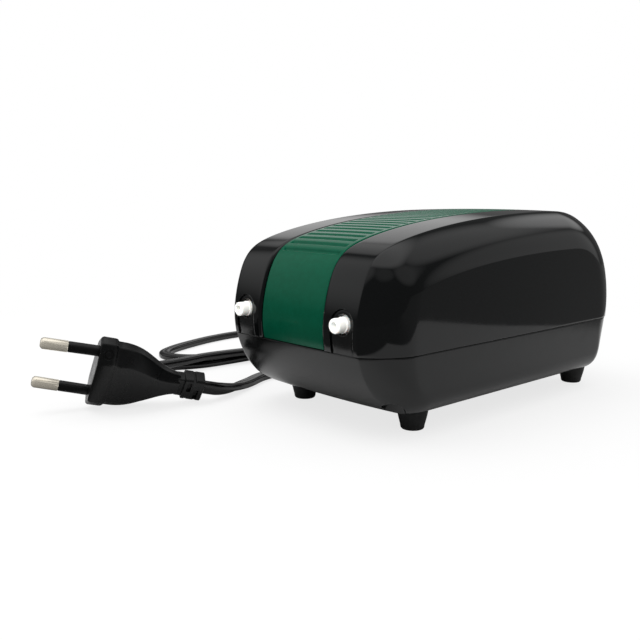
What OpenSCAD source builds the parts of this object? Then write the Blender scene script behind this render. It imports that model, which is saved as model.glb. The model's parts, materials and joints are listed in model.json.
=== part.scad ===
// Twin-outlet vibrating-armature air pump with flat mains cable and plug.
// Millimetres, +Z up, outlets facing -Y (front), right-hand parts at +X. Heights inside the
// modules are counted from the table under the feet; at_datum() then puts the frame's zero
// on the underside of the pad in the middle of the base.

/* [Casing outline, side view] */
// Front-most point of the casing
front_y = -77.8; // [-78.4:0.1:-77.4]
// Rear-most point of the casing
rear_y = 61; // [60.5:0.1:62]
// Height of the front-most point
front_z = 34; // [33.5:0.1:34.5]
// Height of the rear-most point
rear_z = 31.7; // [31:0.1:32.5]
// Front upper shoulder, position along the pump
shoulder_y = -72.1; // [-72.4:0.1:-71.8]
// Front upper shoulder, height
shoulder_z = 55.3; // [54.8:0.1:55.8]
// Slope of the outline at the shoulder, degrees
shoulder_slope = 50; // [47:1:53]
// Crown of the roof, position along the pump
crown_y = 24.4; // [22:0.2:26]
// Crown of the roof, height
crown_z = 68.9; // [68.4:0.1:69.2]
// Height of the underside pad above the table
pad_z = 7; // [6.8:0.1:7.2]
// Height of the pad in the middle of the underside
pad_h = 0.25; // [0.2:0.05:0.35]
// Front end of the flat underside
flat_front_y = -54.8; // [-56:0.2:-54]
// Rear end of the flat underside
flat_rear_y = 44.4; // [43.6:0.2:45]

/* [Casing sides] */
// Half width of the middle band, out to the side creases
band_x = 30; // [29.6:0.1:30.4]
// Half width over the side panels
side_x = 39.7; // [39.4:0.1:40.2]
// Angle of the crease between band and side bulge, degrees
crease_angle = 36; // [30:1:40]
// Inset of the side panel at front and rear
inset_ends = 16; // [14:0.5:17]
// Inset of the side panel at the top
inset_top = 13.9; // [12:0.5:15]
// Inset of the side panel at the bottom
inset_bottom = 7; // [6:0.5:9]
// Wall thickness
wall = 2.2; // [2:0.1:2.4]
// Height of the parting line between the shells
part_z = 27.6; // [27.4:0.1:27.8]
// Set-back of the lower shell under the parting line
lower_in = 0.4; // [0.3:0.05:0.5]

/* [Trim panel] */
// Half width of the trim channel
trim_x = 15.2; // [15:0.1:15.4]
// Depth of the trim face below the casing surface
trim_in = 0.8; // [0.6:0.1:0.9]
// Thickness of the trim panel
trim_t = 1.2; // [1.1:0.05:1.25]
// Pitch of the cross ribs
rib_pitch = 4; // [3.8:0.1:4.4]
// Depth of the grooves between ribs
groove_depth = 0.6; // [0.5:0.05:0.7]

/* [Outlets] */
// Distance of each outlet from the middle plane
nozzle_x = 23.6; // [23.4:0.1:23.8]
// Height of the outlets
nozzle_z = 36.7; // [36.4:0.1:37]
// Outer diameter of the outlet spigots
nozzle_d = 4.7; // [4.5:0.1:4.8]
// Bore of the outlet spigots
nozzle_bore = 2.4; // [2:0.1:2.8]
// Reach of the outlets beyond the casing front
nozzle_out = 3.2; // [2.8:0.1:4.6]
// Half width of the arched slot round each outlet
slot_r = 4.75; // [4.6:0.05:4.9]

/* [Feet and case screws] */
// Foot position across the pump
foot_x = 26.6; // [26.2:0.1:27]
// Foot position along the pump
foot_y = 48.6; // [48.2:0.1:49]
// Diameter of a foot at the base
foot_base_d = 10.4; // [9.2:0.1:10.8]
// Diameter of a foot at the table
foot_table_d = 7.9; // [6.6:0.1:8.2]
// Case screw position across the pump
screw_x = 31.5; // [31.4:0.1:31.8]
// Front case screw position along the pump
screw_front_y = -63; // [-63.4:0.1:-62.6]
// Rear case screw position along the pump
screw_rear_y = 33; // [32:0.5:34]
// Diameter of a screw pocket
pocket_d = 7.5; // [7.3:0.1:7.7]

/* [Mechanism] */
// Height of the arms, magnets and core above the table
mech_z = 34; // [33.8:0.1:34.2]
// Pivot pin position across the pump
pivot_x = 8; // [7.9:0.1:8.1]
// Pivot pin position along the pump
pivot_y = -45; // [-45.5:0.1:-44.8]
// Pivot pin diameter
pin_d = 3; // [2.9:0.1:3.1]
// Radial running clearance of the pivots
run_gap = 0.05; // [0.03:0.01:0.08]
// Diaphragm centre along the pump
disc_y = -22; // [-22.4:0.1:-21.8]
// Stack height of the core laminations
stack_h = 16; // [15.6:0.2:16.4]
// Spacing of the four screws round a diaphragm, from its centre
chamber_screw_s = 13.2; // [13.1:0.05:13.3]

/* [Plug and cable] */
// Spacing of the plug pins at the face
plug_pitch = 18.6; // [18.2:0.1:19]
// Length of a plug pin
plug_pin_l = 19; // [18.5:0.5:19.5]
// Diameter of the bare end of a plug pin
plug_pin_d = 4; // [3.95:0.01:4.05]
// Lean of each pin towards the other, degrees
plug_lean = 1.2; // [0:0.1:1.6]
// Width of the plug across the pins
plug_w = 29; // [28:0.5:31]
// Thickness of the plug
plug_t = 13; // [12:0.2:13.4]
// Width of the flat two-core cable
cable_w = 5.2; // [5:0.1:5.4]
// Thickness of the flat two-core cable
cable_t = 3.2; // [3:0.1:3.4]

/* [Hidden] */
$fn = 48;

base_z = pad_z + pad_h;  // underside of the lower shell round the pad
post_z = base_z + 1;     // foot of the inner posts, sunk into the floor
boss_r = 3.2;            // case screw bosses and columns
foot_pad_h = 5;          // pads over the feet
foot_neck_r = 2;
pocket_top = 19;
spigot_r = 2.3;          // hose spigots and hose bore
seat_y = -74.2;          // front face of the outlet seats in the cradles
core_screw_x = 17;
core_screw_y = 49;
pivot_post_top = 25.6;
pin_bottom = 12;
filter_r = 12.5;         // recess for the intake filter
entry_x = -24.6;         // cable entry in the rear wall
entry_z = 16;
clamp_y = 17;            // cable clamp
clamp_z = 17.9;
chamber_half = 16;       // half side of the square air chamber blocks

// ---- shared helpers ----
module at_datum() { translate([0, 0, -pad_z]) children(); }
module flipped() { mirror([1, 0, 0]) children(); }
module both() {
    children();
    flipped() children();
}
module x_cyl(r, x0, x1) { translate([x0, 0, 0]) rotate([0, 90, 0]) cylinder(r = r, h = x1-x0); }
module y_cyl(r, y0, y1) { translate([0, y0, 0]) rotate([-90, 0, 0]) cylinder(r = r, h = y1-y0); }
module box(low, high) { translate(low) cube(high - low); }
// box over an X and a Y range, half its height either side of z
module level_box(xs, ys, half, z = mech_z) {
    box([xs[0], ys[0], z-half], [xs[1], ys[1], z+half]);
}
module at_feet() {
    for (sx = [-1, 1], sy = [-1, 1]) translate([sx*foot_x, sy*foot_y, 0]) children();
}
case_screw_spots = [for (sx = [-1, 1]) for (y = [screw_front_y, screw_rear_y]) [sx*screw_x, y]];
module at_case_screws(z) {
    for (spot = case_screw_spots) translate([spot[0], spot[1], z]) children();
}
module at_pivots(z) { for (sx = [-1, 1]) translate([sx*pivot_x, pivot_y, z]) children(); }
module at_core_screws(z) {
    for (sx = [-1, 1]) translate([sx*core_screw_x, core_screw_y, z]) children();
}
module at_clamp_screws(z) { for (x = [-28, -16]) translate([x, clamp_y, z]) children(); }
module at_diaphragm() { translate([0, disc_y, mech_z]) children(); }
module at_outlet() { translate([nozzle_x, 0, nozzle_z]) children(); }

function unit(v) = v / norm(v);
function smooth_step(low, high, x) = let (u = min(1, max(0, (x-low)/(high-low)))) u*u*(3-2*u);
// quarter circle about (x, y), from a start angle
function quarter_arc(x, y, r, start) =
    [for (a = [start:22.5:start+90]) [x + r*cos(a), y + r*sin(a)]];

// solid through a list of equal-length rings; flip turns the faces over
module skin(rings, flip = false) {
    n = len(rings[0]);
    last = len(rings) - 1;
    faces = concat(
        [for (r = [0:last-1]) for (k = [0:n-1]) [r*n+k, r*n+(k+1)%n, (r+1)*n+(k+1)%n]],
        [for (r = [0:last-1]) for (k = [0:n-1]) [r*n+k, (r+1)*n+(k+1)%n, (r+1)*n+k]],
        [[for (k = [n-1:-1:0]) k]],
        [[for (k = [0:n-1]) last*n+k]]);
    polyhedron(points = [for (ring = rings) for (p = ring) p],
        faces = flip ? [for (f = faces) [for (i = [len(f)-1:-1:0]) f[i]]] : faces);
}

// cross-head screw pointing up from its head
module screw(d, head_d, head_h, length) difference() {
    union() {
        cylinder(r = head_d/2, h = head_h);
        cylinder(r = d/2, h = head_h+length);
    }
    for (a = [0, 90])
        rotate(a) translate([-head_d*0.33, -0.35, -1]) cube([head_d*0.66, 0.7, 1+head_h*0.5]);
}

// ---- outline of the casing in the (y, z) plane ----
shoulder = [shoulder_y, shoulder_z];
shoulder_dir = [cos(shoulder_slope), sin(shoulder_slope)];
crown = [crown_y, crown_z];
front = [front_y, front_z];
rear = [rear_y, rear_z];
outline_z = pad_z - 0.3;
flat_front = [flat_front_y, outline_z];
flat_rear = [flat_rear_y, outline_z];
// Bezier arcs: start, first handle, second handle, end, number of points
arcs = [
    [front, front + [0, 8.8], shoulder - 2*shoulder_dir, shoulder, 7],
    [shoulder, shoulder + 7.8*shoulder_dir, crown - [56, 0], crown, 17],
    [crown, crown + [24.1, 0], rear + [0, 21], rear, 12],
    [rear, rear - [0, 10.5], flat_rear + [7.8, 0], flat_rear, 8],
    [flat_rear, flat_rear - [5, 0], flat_front + [5, 0], flat_front, 2],
    [flat_front, flat_front - [10.5, 0], front - [0, 15.6], front, 9]];
function bezier(arc, t) =
    pow(1-t, 3)*arc[0] + 3*pow(1-t, 2)*t*arc[1] + 3*(1-t)*t*t*arc[2] + pow(t, 3)*arc[3];
outline = [for (arc = arcs) for (i = [0:arc[4]-1]) bezier(arc, i/arc[4])];
outline_n = len(outline);
function tangent(i) =
    unit(outline[(i+1)%outline_n] - outline[(i+outline_n-1)%outline_n]);
normals = [for (i = [0:outline_n-1]) let (t = tangent(i)) [-t[1], t[0]]];
function inset(depth) = [for (i = [0:outline_n-1]) outline[i] - depth*normals[i]];

// how far the side panel's edge lies inside the outline at point i
function side_in(i) = let (n = normals[i], up = max(0, n[1]), down = max(0, -n[1]))
    inset_ends*n[0]*n[0] + inset_top*up*up + inset_bottom*down*down;
// crease angle at point i, fading out towards the underside
function crease(i) = crease_angle*smooth_step(-0.98, -0.35, normals[i][1]);
BULGE_RINGS = 5;
// point i of ring k of the right side bulge, depth below the surface;
// ring 0 is the crease, ring BULGE_RINGS the side panel's edge
function bulge(i, k, depth) =
    let (start = crease(i),
        angle = start + (90-start)*k/BULGE_RINGS,
        x = band_x + (side_x-depth-band_x)*(sin(angle)-sin(start))/(1-sin(start)),
        in = depth + side_in(i)*(cos(start)-cos(angle))/cos(start),
        q = outline[i] - in*normals[i])
    [x, q[0], q[1]];

// solid inside the casing surface, depth below it
module body_solid(depth) {
    right = [for (k = [0:BULGE_RINGS]) [for (i = [0:outline_n-1]) bulge(i, k, depth)]];
    left = [for (k = [BULGE_RINGS:-1:0]) [for (p = right[k]) [-p[0], p[1], p[2]]]];
    skin(concat(left, right));
}
// prism of the outline inset by depth, half_x either side of the middle plane
module slab(depth, half_x) {
    rotate([90, 0, 90]) translate([0, 0, -half_x])
        linear_extrude(2*half_x) polygon(inset(depth));
}
// band between two depths
module band(outer, inner, half_x) {
    rotate([90, 0, 90]) translate([0, 0, -half_x]) linear_extrude(2*half_x) difference() {
        polygon(inset(outer));
        polygon(inset(inner));
    }
}
// arched profile round the right outlet, run along Y: round top, straight legs down to z0
module arch(r, y0, y1, z0) {
    at_outlet() y_cyl(r, y0, y1);
    box([nozzle_x-r, y0, z0], [nozzle_x+r, y1, nozzle_z]);
}

// ---- upper shell ----
trim_wall = 3.6;  // depth of the inner face behind the trim channel
module upper_hollow() difference() {
    body_solid(wall);
    // thicker wall behind the trim channel
    difference() {
        slab(-1, trim_x+2);
        slab(trim_wall, trim_x+3);
    }
}
module upper_shell() color("#17181a") at_datum() difference() {
    union() {
        difference() {
            body_solid(0);
            upper_hollow();
        }
        // screw bosses
        for (spot = case_screw_spots)
            translate([spot[0], spot[1], part_z]) cylinder(r = boss_r, h = spot[1] < 0 ? 14 : 16);
        // webs from the bosses to the side walls
        both() for (y = [screw_front_y, screw_rear_y])
            box([screw_x, y-0.9, part_z], [side_x-1.3, y+0.9, part_z+12]);
    }
    box([-60, -100, -10], [60, 100, part_z]);
    // channel for the trim panel
    band(-3, trim_in+trim_t+0.1, trim_x);
    both() arch(slot_r, -90, -68, part_z-1);
    at_case_screws(part_z-1) cylinder(r = 1.25, h = 12);
}

// ---- lower shell ----
part_gap = 0.05;   // gap between the shells
tongue_in = 0.35;  // depth of the slot tongues below the surface
module lower_wall() difference() {
    body_solid(lower_in);
    body_solid(wall+lower_in);
}
// parts that are trimmed to the inside of the casing surface
module wall_fittings() {
    // cradles behind the outlets
    both() box([nozzle_x-4.2, -73.6, 14], [nozzle_x+4.2, -72.2, nozzle_z]);
    // screw pockets and their columns
    at_case_screws(base_z) {
        cylinder(r = pocket_d/2+1.5, h = 14);
        cylinder(r = boss_r, h = part_z-base_z-part_gap);
    }
    // posts under the core
    at_core_screws(post_z) cylinder(r = 3.9, h = mech_z-stack_h/2-base_z-1);
}
module floor_fittings() {
    // pads over the feet
    at_feet() translate([0, 0, base_z]) cylinder(r = 5.6, h = foot_pad_h);
    // posts for the pivot pins
    at_pivots(post_z) cylinder(r = 4, h = pivot_post_top-post_z);
    // stands under the air chambers
    both() for (y = [disc_y-14.5, disc_y+11.5])
        box([17, y, post_z], [29.5, y+3, mech_z-chamber_half]);
    // cup for the intake filter
    translate([0, disc_y, base_z]) cylinder(r = filter_r+2, h = 6);
    // posts of the cable clamp and the block between them
    at_clamp_screws(post_z) cylinder(r = 2.6, h = clamp_z-base_z-1);
    box([-26, clamp_y-2, post_z], [-18, clamp_y+2, 14.3]);
}
module shell_holes() {
    // case screws
    at_case_screws(-5) cylinder(r = pocket_d/2, h = 5+pocket_top);
    at_case_screws(10) cylinder(r = 1.7, h = 20);
    // outlets
    both() at_outlet() y_cyl(3.2, -90, seat_y);
    both() at_outlet() y_cyl(nozzle_bore/2+1.15, seat_y, -70);
    // feet
    at_feet() {
        cylinder(r = foot_neck_r, h = 20);
        translate([0, 0, base_z+foot_pad_h-0.1]) cylinder(r = 3, h = 5);
    }
    // pivot pins and core screws
    at_pivots(pin_bottom) cylinder(r = pin_d/2, h = 20);
    at_core_screws(12) cylinder(r = 1.9, h = 20);
    // filter recess and intake hole
    translate([0, disc_y, base_z-1]) cylinder(r = filter_r, h = 4.9);
    translate([0, disc_y, base_z]) cylinder(r = 4.5, h = 10);
    // cable entry and clamp screws
    translate([entry_x, 0, entry_z]) y_cyl(4, 50, 70);
    at_clamp_screws(9) cylinder(r = 1.1, h = 10);
    // everything below the underside plane
    box([-60, -100, -10], [60, 100, base_z]);
}
module shell_base() difference() {
    union() {
        intersection() {
            lower_wall();
            box([-60, -100, base_z], [60, 100, part_z-part_gap]);
        }
        // floor under the flat underside
        box([-31, flat_front_y, base_z], [31, flat_rear_y, base_z+wall]);
        // tongues that fill the outlet slots
        both() intersection() {
            band(tongue_in, wall+tongue_in, 40);
            arch(slot_r-0.15, -90, -70, part_z-2.5);
        }
        intersection() {
            wall_fittings();
            body_solid(lower_in+0.3);
        }
        floor_fittings();
    }
    shell_holes();
}
module lower_shell() color("#1a1b1d") at_datum() {
    shell_base();
    // pad in the middle of the underside
    translate([-17, -8.5, pad_z]) cube([34, 17, 1.2]);
}

// ---- trim panel ----
trim_line = inset(trim_in);
first_groove_point = 8;  // outline point just above the shoulder
first_groove_s = 1.2;    // distance of the first groove from it
groove_count = 34;
// the point a distance s along the trim face from outline point i
function trim_point(i, s) =
    let (step = norm(trim_line[i+1] - trim_line[i]), u = min(s, step)/step)
    s > step && i < outline_n-2 ? trim_point(i+1, s-step)
        : trim_line[i]*(1-u) + trim_line[i+1]*u;
module trim_panel() color("#0f6b4a") at_datum() difference() {
    intersection() {
        band(trim_in, trim_in+trim_t, trim_x-0.1);
        box([-20, -100, part_z+0.1], [20, 100, 100]);
    }
    // grooves between the ribs, from the front shoulder over the roof
    for (k = [0:groove_count-1])
        let (g = trim_point(first_groove_point, k*rib_pitch+first_groove_s))
            translate([-20, g[0], g[1]]) rotate([0, 90, 0])
                cylinder(r = groove_depth, h = 40, $fn = 16);
}

// ---- feet and case screws ----
foot_edge_r = 0.9;
// foot with a neck through the shell and a barbed tip above the pad
module rubber_feet() color("#101010") at_datum() at_feet() rotate_extrude() polygon(concat(
    [[0, 0]],
    quarter_arc(foot_table_d/2-foot_edge_r, foot_edge_r, foot_edge_r, -90),
    [[foot_base_d/2, base_z], [foot_neck_r, base_z], [foot_neck_r, base_z+foot_pad_h],
        [2.8, base_z+foot_pad_h], [1.6, base_z+6.9], [0, base_z+6.9]]));
module case_screws() color("#8b8d90") at_datum()
    at_case_screws(16.6) screw(d = 2.5, head_d = 5.8, head_h = 2.3, length = 19);

// ---- outlets ----
nozzle_tip_y = front_y - nozzle_out;
nozzle_edge_r = 0.8;
// outer profile of a nozzle: radius, y
nozzle_profile = concat(
    [[0, nozzle_tip_y]],
    quarter_arc(nozzle_d/2-nozzle_edge_r, nozzle_tip_y+nozzle_edge_r, nozzle_edge_r, -90),
    [[nozzle_d/2, front_y+0.2], [2.6, front_y+0.2], [2.6, -74.4], [3.6, -74.4], [3.6, -73.7],
        [spigot_r, -73.7], [spigot_r, -62.6], [2, -62], [0, -62]]);
module nozzle() difference() {
    at_outlet() rotate([-90, 0, 0]) rotate_extrude() polygon(nozzle_profile);
    at_outlet() y_cyl(nozzle_bore/2, -90, -60);
}
module outlet_nozzle_right() color("#f1efe8") at_datum() nozzle();
module outlet_nozzle_left() color("#f1efe8") at_datum() flipped() nozzle();
module hose() at_outlet() difference() {
    y_cyl(3.2, -71, -43);
    y_cyl(spigot_r, -72, -42);
}
module outlet_hose_right() color("#c9ccc8") at_datum() hose();
module outlet_hose_left() color("#c9ccc8") at_datum() flipped() hose();

// ---- electromagnet ----
core_y = [20, 53];
core_half_w = 23;
yoke_y = 45;
leg_end = 46;         // legs run a little into the yoke
middle_leg_x = 6;
bobbin_y = [21.6, 44.6];
bobbin_flange = 1.2;
tube_w = 15;
tube_h = stack_h + 3.4;
lug_x = [-12, -5];
// E-shaped core, its legs pointing to the front
module iron_core() color("#5b5f63") at_datum() difference() {
    union() {
        level_box([-core_half_w, core_half_w], [yoke_y, core_y[1]], stack_h/2);
        level_box([-middle_leg_x, middle_leg_x], [core_y[0], leg_end], stack_h/2);
        both() level_box([17, core_half_w], [core_y[0], leg_end], stack_h/2);
    }
    at_core_screws(0) cylinder(r = 2, h = 80);
}
// bar along Y with rounded long edges, centred on the core
module round_bar(w, h, r, y0, y1) translate([0, y1, mech_z]) rotate([90, 0, 0])
    linear_extrude(y1-y0) {
        square([w-2*r, h], center = true);
        square([w, h-2*r], center = true);
        for (sx = [-1, 1], sy = [-1, 1]) translate([sx*(w/2-r), sy*(h/2-r)]) circle(r);
    }
module coil_bobbin() color("#d8d4c4") at_datum() difference() {
    union() {
        round_bar(tube_w, tube_h, 1, bobbin_y[0], bobbin_y[1]);
        round_bar(33, 34, 2, bobbin_y[0], bobbin_y[0]+bobbin_flange);
        round_bar(33, 34, 2, bobbin_y[1]-bobbin_flange, bobbin_y[1]);
        // terminal lugs
        for (x = lug_x) box([x-1.6, 18.6, 19], [x+1.6, 22, 21.4]);
    }
    level_box([-middle_leg_x-0.1, middle_leg_x+0.1], [10, 60], stack_h/2+0.1);
}
module coil_winding() color("#a85a2a") at_datum() difference() {
    round_bar(31, 32, 4, bobbin_y[0]+bobbin_flange+0.1, bobbin_y[1]-bobbin_flange-0.1);
    round_bar(tube_w+0.1, tube_h+0.1, 1, 20, 50);
}
core_head_h = 2.6;
module core_screws() color("#9a9ca0") at_datum()
    at_core_screws(mech_z+stack_h/2+core_head_h) mirror([0, 0, 1])
        screw(d = 3.8, head_d = 7, head_h = core_head_h, length = 27);

// ---- pivots ----
module pivot_pins() color("#b9bbbe") at_datum()
    at_pivots(pin_bottom) cylinder(r = pin_d/2, h = 32.6);
// open rings on the pins, just above the arms
module pivot_clips() color("#c4a54a") at_datum() at_pivots(mech_z+8.2) difference() {
    cylinder(r = 3, h = 0.8);
    translate([0, 0, -1]) cylinder(r = pin_d/2, h = 3);
    translate([-0.9, -5, -1]) cube([1.8, 5, 3]);
}

// ---- vibrating arms ----
magnet_x = [6, 15];
magnet_y = [8, 17.6];
magnet_half = 6;     // half height
arm_half = 8;        // half height of hub and magnet holder
arm_x = [7, 9];      // blade
disc_x = [14, 16];   // diaphragm disc
disc_bolt_r = 1.5;
disc_hole_r = 1.55;
module arm() difference() {
    union() {
        translate([pivot_x, pivot_y, mech_z-arm_half]) cylinder(r = 3.6, h = 2*arm_half);
        level_box(arm_x, [pivot_y, 6], 6);
        // rib along the arm
        level_box([6, arm_x[1]], [pivot_y+3, 5], 1);
        // magnet holder
        level_box([4.8, 16.2], [4, 16.4], arm_half);
        // pusher against the diaphragm
        at_diaphragm() x_cyl(6, 8, disc_x[0]);
    }
    level_box(magnet_x, [magnet_y[0], 30], magnet_half);
    translate([pivot_x, pivot_y, 0]) cylinder(r = pin_d/2+run_gap, h = 90);
    // hole for the diaphragm screw, recess for its nut
    at_diaphragm() {
        x_cyl(disc_hole_r, -20, 20);
        x_cyl(3.5, 0, arm_x[0]);
    }
}
module arm_right() color("#e6e3da") at_datum() arm();
module arm_left() color("#e6e3da") at_datum() flipped() arm();
module magnet() level_box(magnet_x, magnet_y, magnet_half);
module magnet_right() color("#3c3d40") at_datum() magnet();
module magnet_left() color("#3c3d40") at_datum() flipped() magnet();

// ---- diaphragms ----
washer_x = 17;  // outer face of the washer
module disc_screw() at_diaphragm() {
    difference() {
        union() {
            x_cyl(disc_bolt_r, 5.2, 18);
            x_cyl(2.8, washer_x, washer_x+1.7);
        }
        for (a = [0, 90]) rotate([a, 0, 0]) translate([18, -1.8, -0.35]) cube([2, 3.6, 0.7]);
    }
    // nut on the inner side
    translate([4.6, 0, 0]) rotate([0, 90, 0]) difference() {
        cylinder(r = 3, h = 2.3, $fn = 6);
        translate([0, 0, -1]) cylinder(r = disc_bolt_r, h = 5);
    }
}
module diaphragm_screw_right() color("#b9bbbe") at_datum() disc_screw();
module diaphragm_screw_left() color("#b9bbbe") at_datum() flipped() disc_screw();
module disc_washer() at_diaphragm() difference() {
    x_cyl(6, disc_x[1], washer_x);
    x_cyl(disc_hole_r, 10, 20);
}
module diaphragm_washer_right() color("#caccce") at_datum() disc_washer();
module diaphragm_washer_left() color("#caccce") at_datum() flipped() disc_washer();
// rubber disc with one rolled ring and a thick rim; profile in (radius, x), turned about X
module diaphragm() at_diaphragm() rotate([0, 90, 0]) rotate_extrude() {
    translate([1.6, disc_x[0]]) square([5.9, 2]);
    translate([7.2, 15]) square([1, 1]);
    // rolled ring
    intersection() {
        translate([9.7, 15]) difference() {
            circle(2.4);
            circle(1.5);
        }
        translate([6, 10]) square([8, 5.05]);
    }
    translate([11.2, 15]) square([2, 1.5]);
    // rim
    translate([12.1, 13]) square([2.9, 3.5]);
}
module diaphragm_right() color("#1c1c1c") at_datum() diaphragm();
module diaphragm_left() color("#1c1c1c") at_datum() flipped() diaphragm();

// ---- air chambers: clamp frame, chamber and cover stacked outwards ----
frame_x = [12, 16.5];
plate_x = [22, 24];   // valve plate between bowl and cover
cover_x = 30.5;       // outer face of the cover
bowl_r = 12.1;
flap_y = 6.5;         // valves, either side of the diaphragm centre
bead_z = mech_z + 4.2;
inlet_bead_x = 21.05;
outlet_bead_x = 24.95;
module chamber_block(x0, x1)
    level_box([x0, x1], [disc_y-chamber_half, disc_y+chamber_half], chamber_half);
module at_chamber_screws(x = 0) {
    for (sy = [-1, 1], sz = [-1, 1])
        translate([x, disc_y+sy*chamber_screw_s, mech_z+sz*chamber_screw_s]) children();
}
module clamp_frame() difference() {
    chamber_block(frame_x[0], frame_x[1]);
    at_diaphragm() {
        x_cyl(bowl_r, 10, 20);
        x_cyl(15, 13, 20);
    }
    at_chamber_screws() x_cyl(1.25, 10, 20);
}
module clamp_frame_right() color("#d9d9d6") at_datum() clamp_frame();
module clamp_frame_left() color("#d9d9d6") at_datum() flipped() clamp_frame();
// pair of ears that hold a flap's bead
module ears(y, x) for (s = [-1, 1]) difference() {
    level_box([x-1.3, x+1.3], [y+s*3.9-0.6, y+s*3.9+0.6], 1.5, z = bead_z);
    translate([x, 0, bead_z]) y_cyl(0.95, y-8, y+8);
}
module air_chamber() {
    difference() {
        chamber_block(frame_x[1], plate_x[1]);
        at_diaphragm() x_cyl(bowl_r, 16, plate_x[0]);
        // inlet valve holes and outlet valve holes
        for (s = [-1, 1], dz = [-1.9, 1.9])
            translate([0, disc_y+s*flap_y, mech_z-1+dz]) x_cyl(1.1, 20, 26);
        at_chamber_screws() x_cyl(1.3, 10, 30);
    }
    // inlet flap's ears in the bowl, outlet flap's ears on the back
    ears(disc_y+flap_y, inlet_bead_x);
    ears(disc_y-flap_y, outlet_bead_x);
}
module air_chamber_right() color("#d9d9d6") at_datum() air_chamber();
module air_chamber_left() color("#d9d9d6") at_datum() flipped() air_chamber();
// rubber tab with a bead at x along its root; side is the way from the bead to the plate
module flap(y, x, side) {
    translate([x, 0, bead_z]) y_cyl(0.9, y-4.3, y+4.3);
    box([min(x+side*0.1, x+side*0.9), y-3, bead_z-8.2],
        [max(x+side*0.1, x+side*0.9), y+3, bead_z]);
}
module inlet_flap() flap(disc_y+flap_y, inlet_bead_x, 1);
module inlet_flap_right() color("#2b2b2b") at_datum() inlet_flap();
module inlet_flap_left() color("#2b2b2b") at_datum() flipped() inlet_flap();
module outlet_flap() flap(disc_y-flap_y, outlet_bead_x, -1);
module outlet_flap_right() color("#2b2b2b") at_datum() outlet_flap();
module outlet_flap_left() color("#2b2b2b") at_datum() flipped() outlet_flap();
module chamber_cover() difference() {
    union() {
        chamber_block(plate_x[1], cover_x);
        // duct from the outlet side to the hose spigot
        level_box([20.6, cover_x], [disc_y-20, disc_y-chamber_half], 3.2, z = nozzle_z);
        at_outlet() y_cyl(spigot_r, disc_y-28, disc_y-20);
    }
    // outlet side at the front, inlet side at the rear
    level_box([20, 29], [disc_y-14.5, disc_y-0.75], 9.6);
    level_box([20, 29], [disc_y+0.75, disc_y+14.5], 9.6);
    // passage through the duct
    level_box([25.5, 29], [disc_y-18.5, disc_y-14], 1.7, z = nozzle_z);
    level_box([22, 29], [disc_y-18.5, disc_y-16.8], 1.7, z = nozzle_z);
    at_outlet() y_cyl(1.2, disc_y-30, disc_y-17);
    // air intake at the bottom of the inlet side
    translate([26.6, disc_y+7.6, mech_z-20]) cylinder(r = 1.8, h = 12);
    at_chamber_screws() x_cyl(1.3, 10, 40);
}
module chamber_cover_right() color("#e3e3e0") at_datum() chamber_cover();
module chamber_cover_left() color("#e3e3e0") at_datum() flipped() chamber_cover();
module chamber_screws() color("#b9bbbe") at_datum() both()
    at_chamber_screws(cover_x+1.6) rotate([0, -90, 0])
        screw(d = 2.5, head_d = 4.6, head_h = 1.6, length = 18.5);

// ---- intake filter ----
module filter_felt() color("#dcdcd2") at_datum()
    translate([0, disc_y, base_z+1.8]) cylinder(r = filter_r-0.2, h = 2);
cover_r = filter_r - 0.1;
module filter_cover() color("#1a1b1d") at_datum() translate([0, disc_y, base_z]) difference() {
    cylinder(r = cover_r, h = 1.7);
    for (a = [0:60:300]) rotate(a) translate([6.6, 0, -1]) cylinder(r = 1.6, h = 4);
    translate([0, 0, -1]) cylinder(r = 2, h = 4);
    // finger notch
    translate([0, -cover_r, -1]) cylinder(r = 1.4, h = 4);
}

// ---- cable entry, clamp and connectors ----
module cable_grommet() color("#111111") at_datum() translate([entry_x, 0, entry_z]) difference() {
    union() {
        y_cyl(3.95, rear_y-8, rear_y+1);
        rotate([-90, 0, 0]) translate([0, 0, rear_y-1.8]) cylinder(r1 = 5.2, r2 = 3.9, h = 7);
    }
    translate([-2.8, 50, -1.8]) cube([5.6, 30, 3.6]);
}
clamp_top = 20.4;
module cable_clamp() color("#dad7cc") at_datum() difference() {
    box([-31, clamp_y-2.6, clamp_z], [-13.8, clamp_y+2.6, clamp_top]);
    at_clamp_screws(0) cylinder(r = 1.4, h = 40);
}
module cable_clamp_screws() color("#b9bbbe") at_datum()
    at_clamp_screws(clamp_top+1.6) mirror([0, 0, 1])
        screw(d = 2.2, head_d = 4.2, head_h = 1.6, length = 10);
connector_x = [-26, -20];
connector_z = 14;
module wire_connectors() color("#d9c9a0") at_datum()
    for (x = connector_x) translate([x, 0, connector_z]) difference() {
        y_cyl(2.2, -4, 7);
        y_cyl(1.1, -6, 1);
        y_cyl(1.3, 3, 9);
    }

// ---- wires and mains cable ----
// Catmull-Rom curve through points, n steps between neighbours
function spline(a, b, c, d, t) =
    0.5*((2*b) + (c-a)*t + (2*a-5*b+4*c-d)*t*t + (3*b-a-3*c+d)*t*t*t);
function through(points, n) = let (last = len(points)-1) concat(
    [for (i = [0:last-1]) for (k = [0:n-1])
        spline(points[max(0, i-1)], points[i], points[i+1], points[min(last, i+2)], k/n)],
    [points[last]]);
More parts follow.
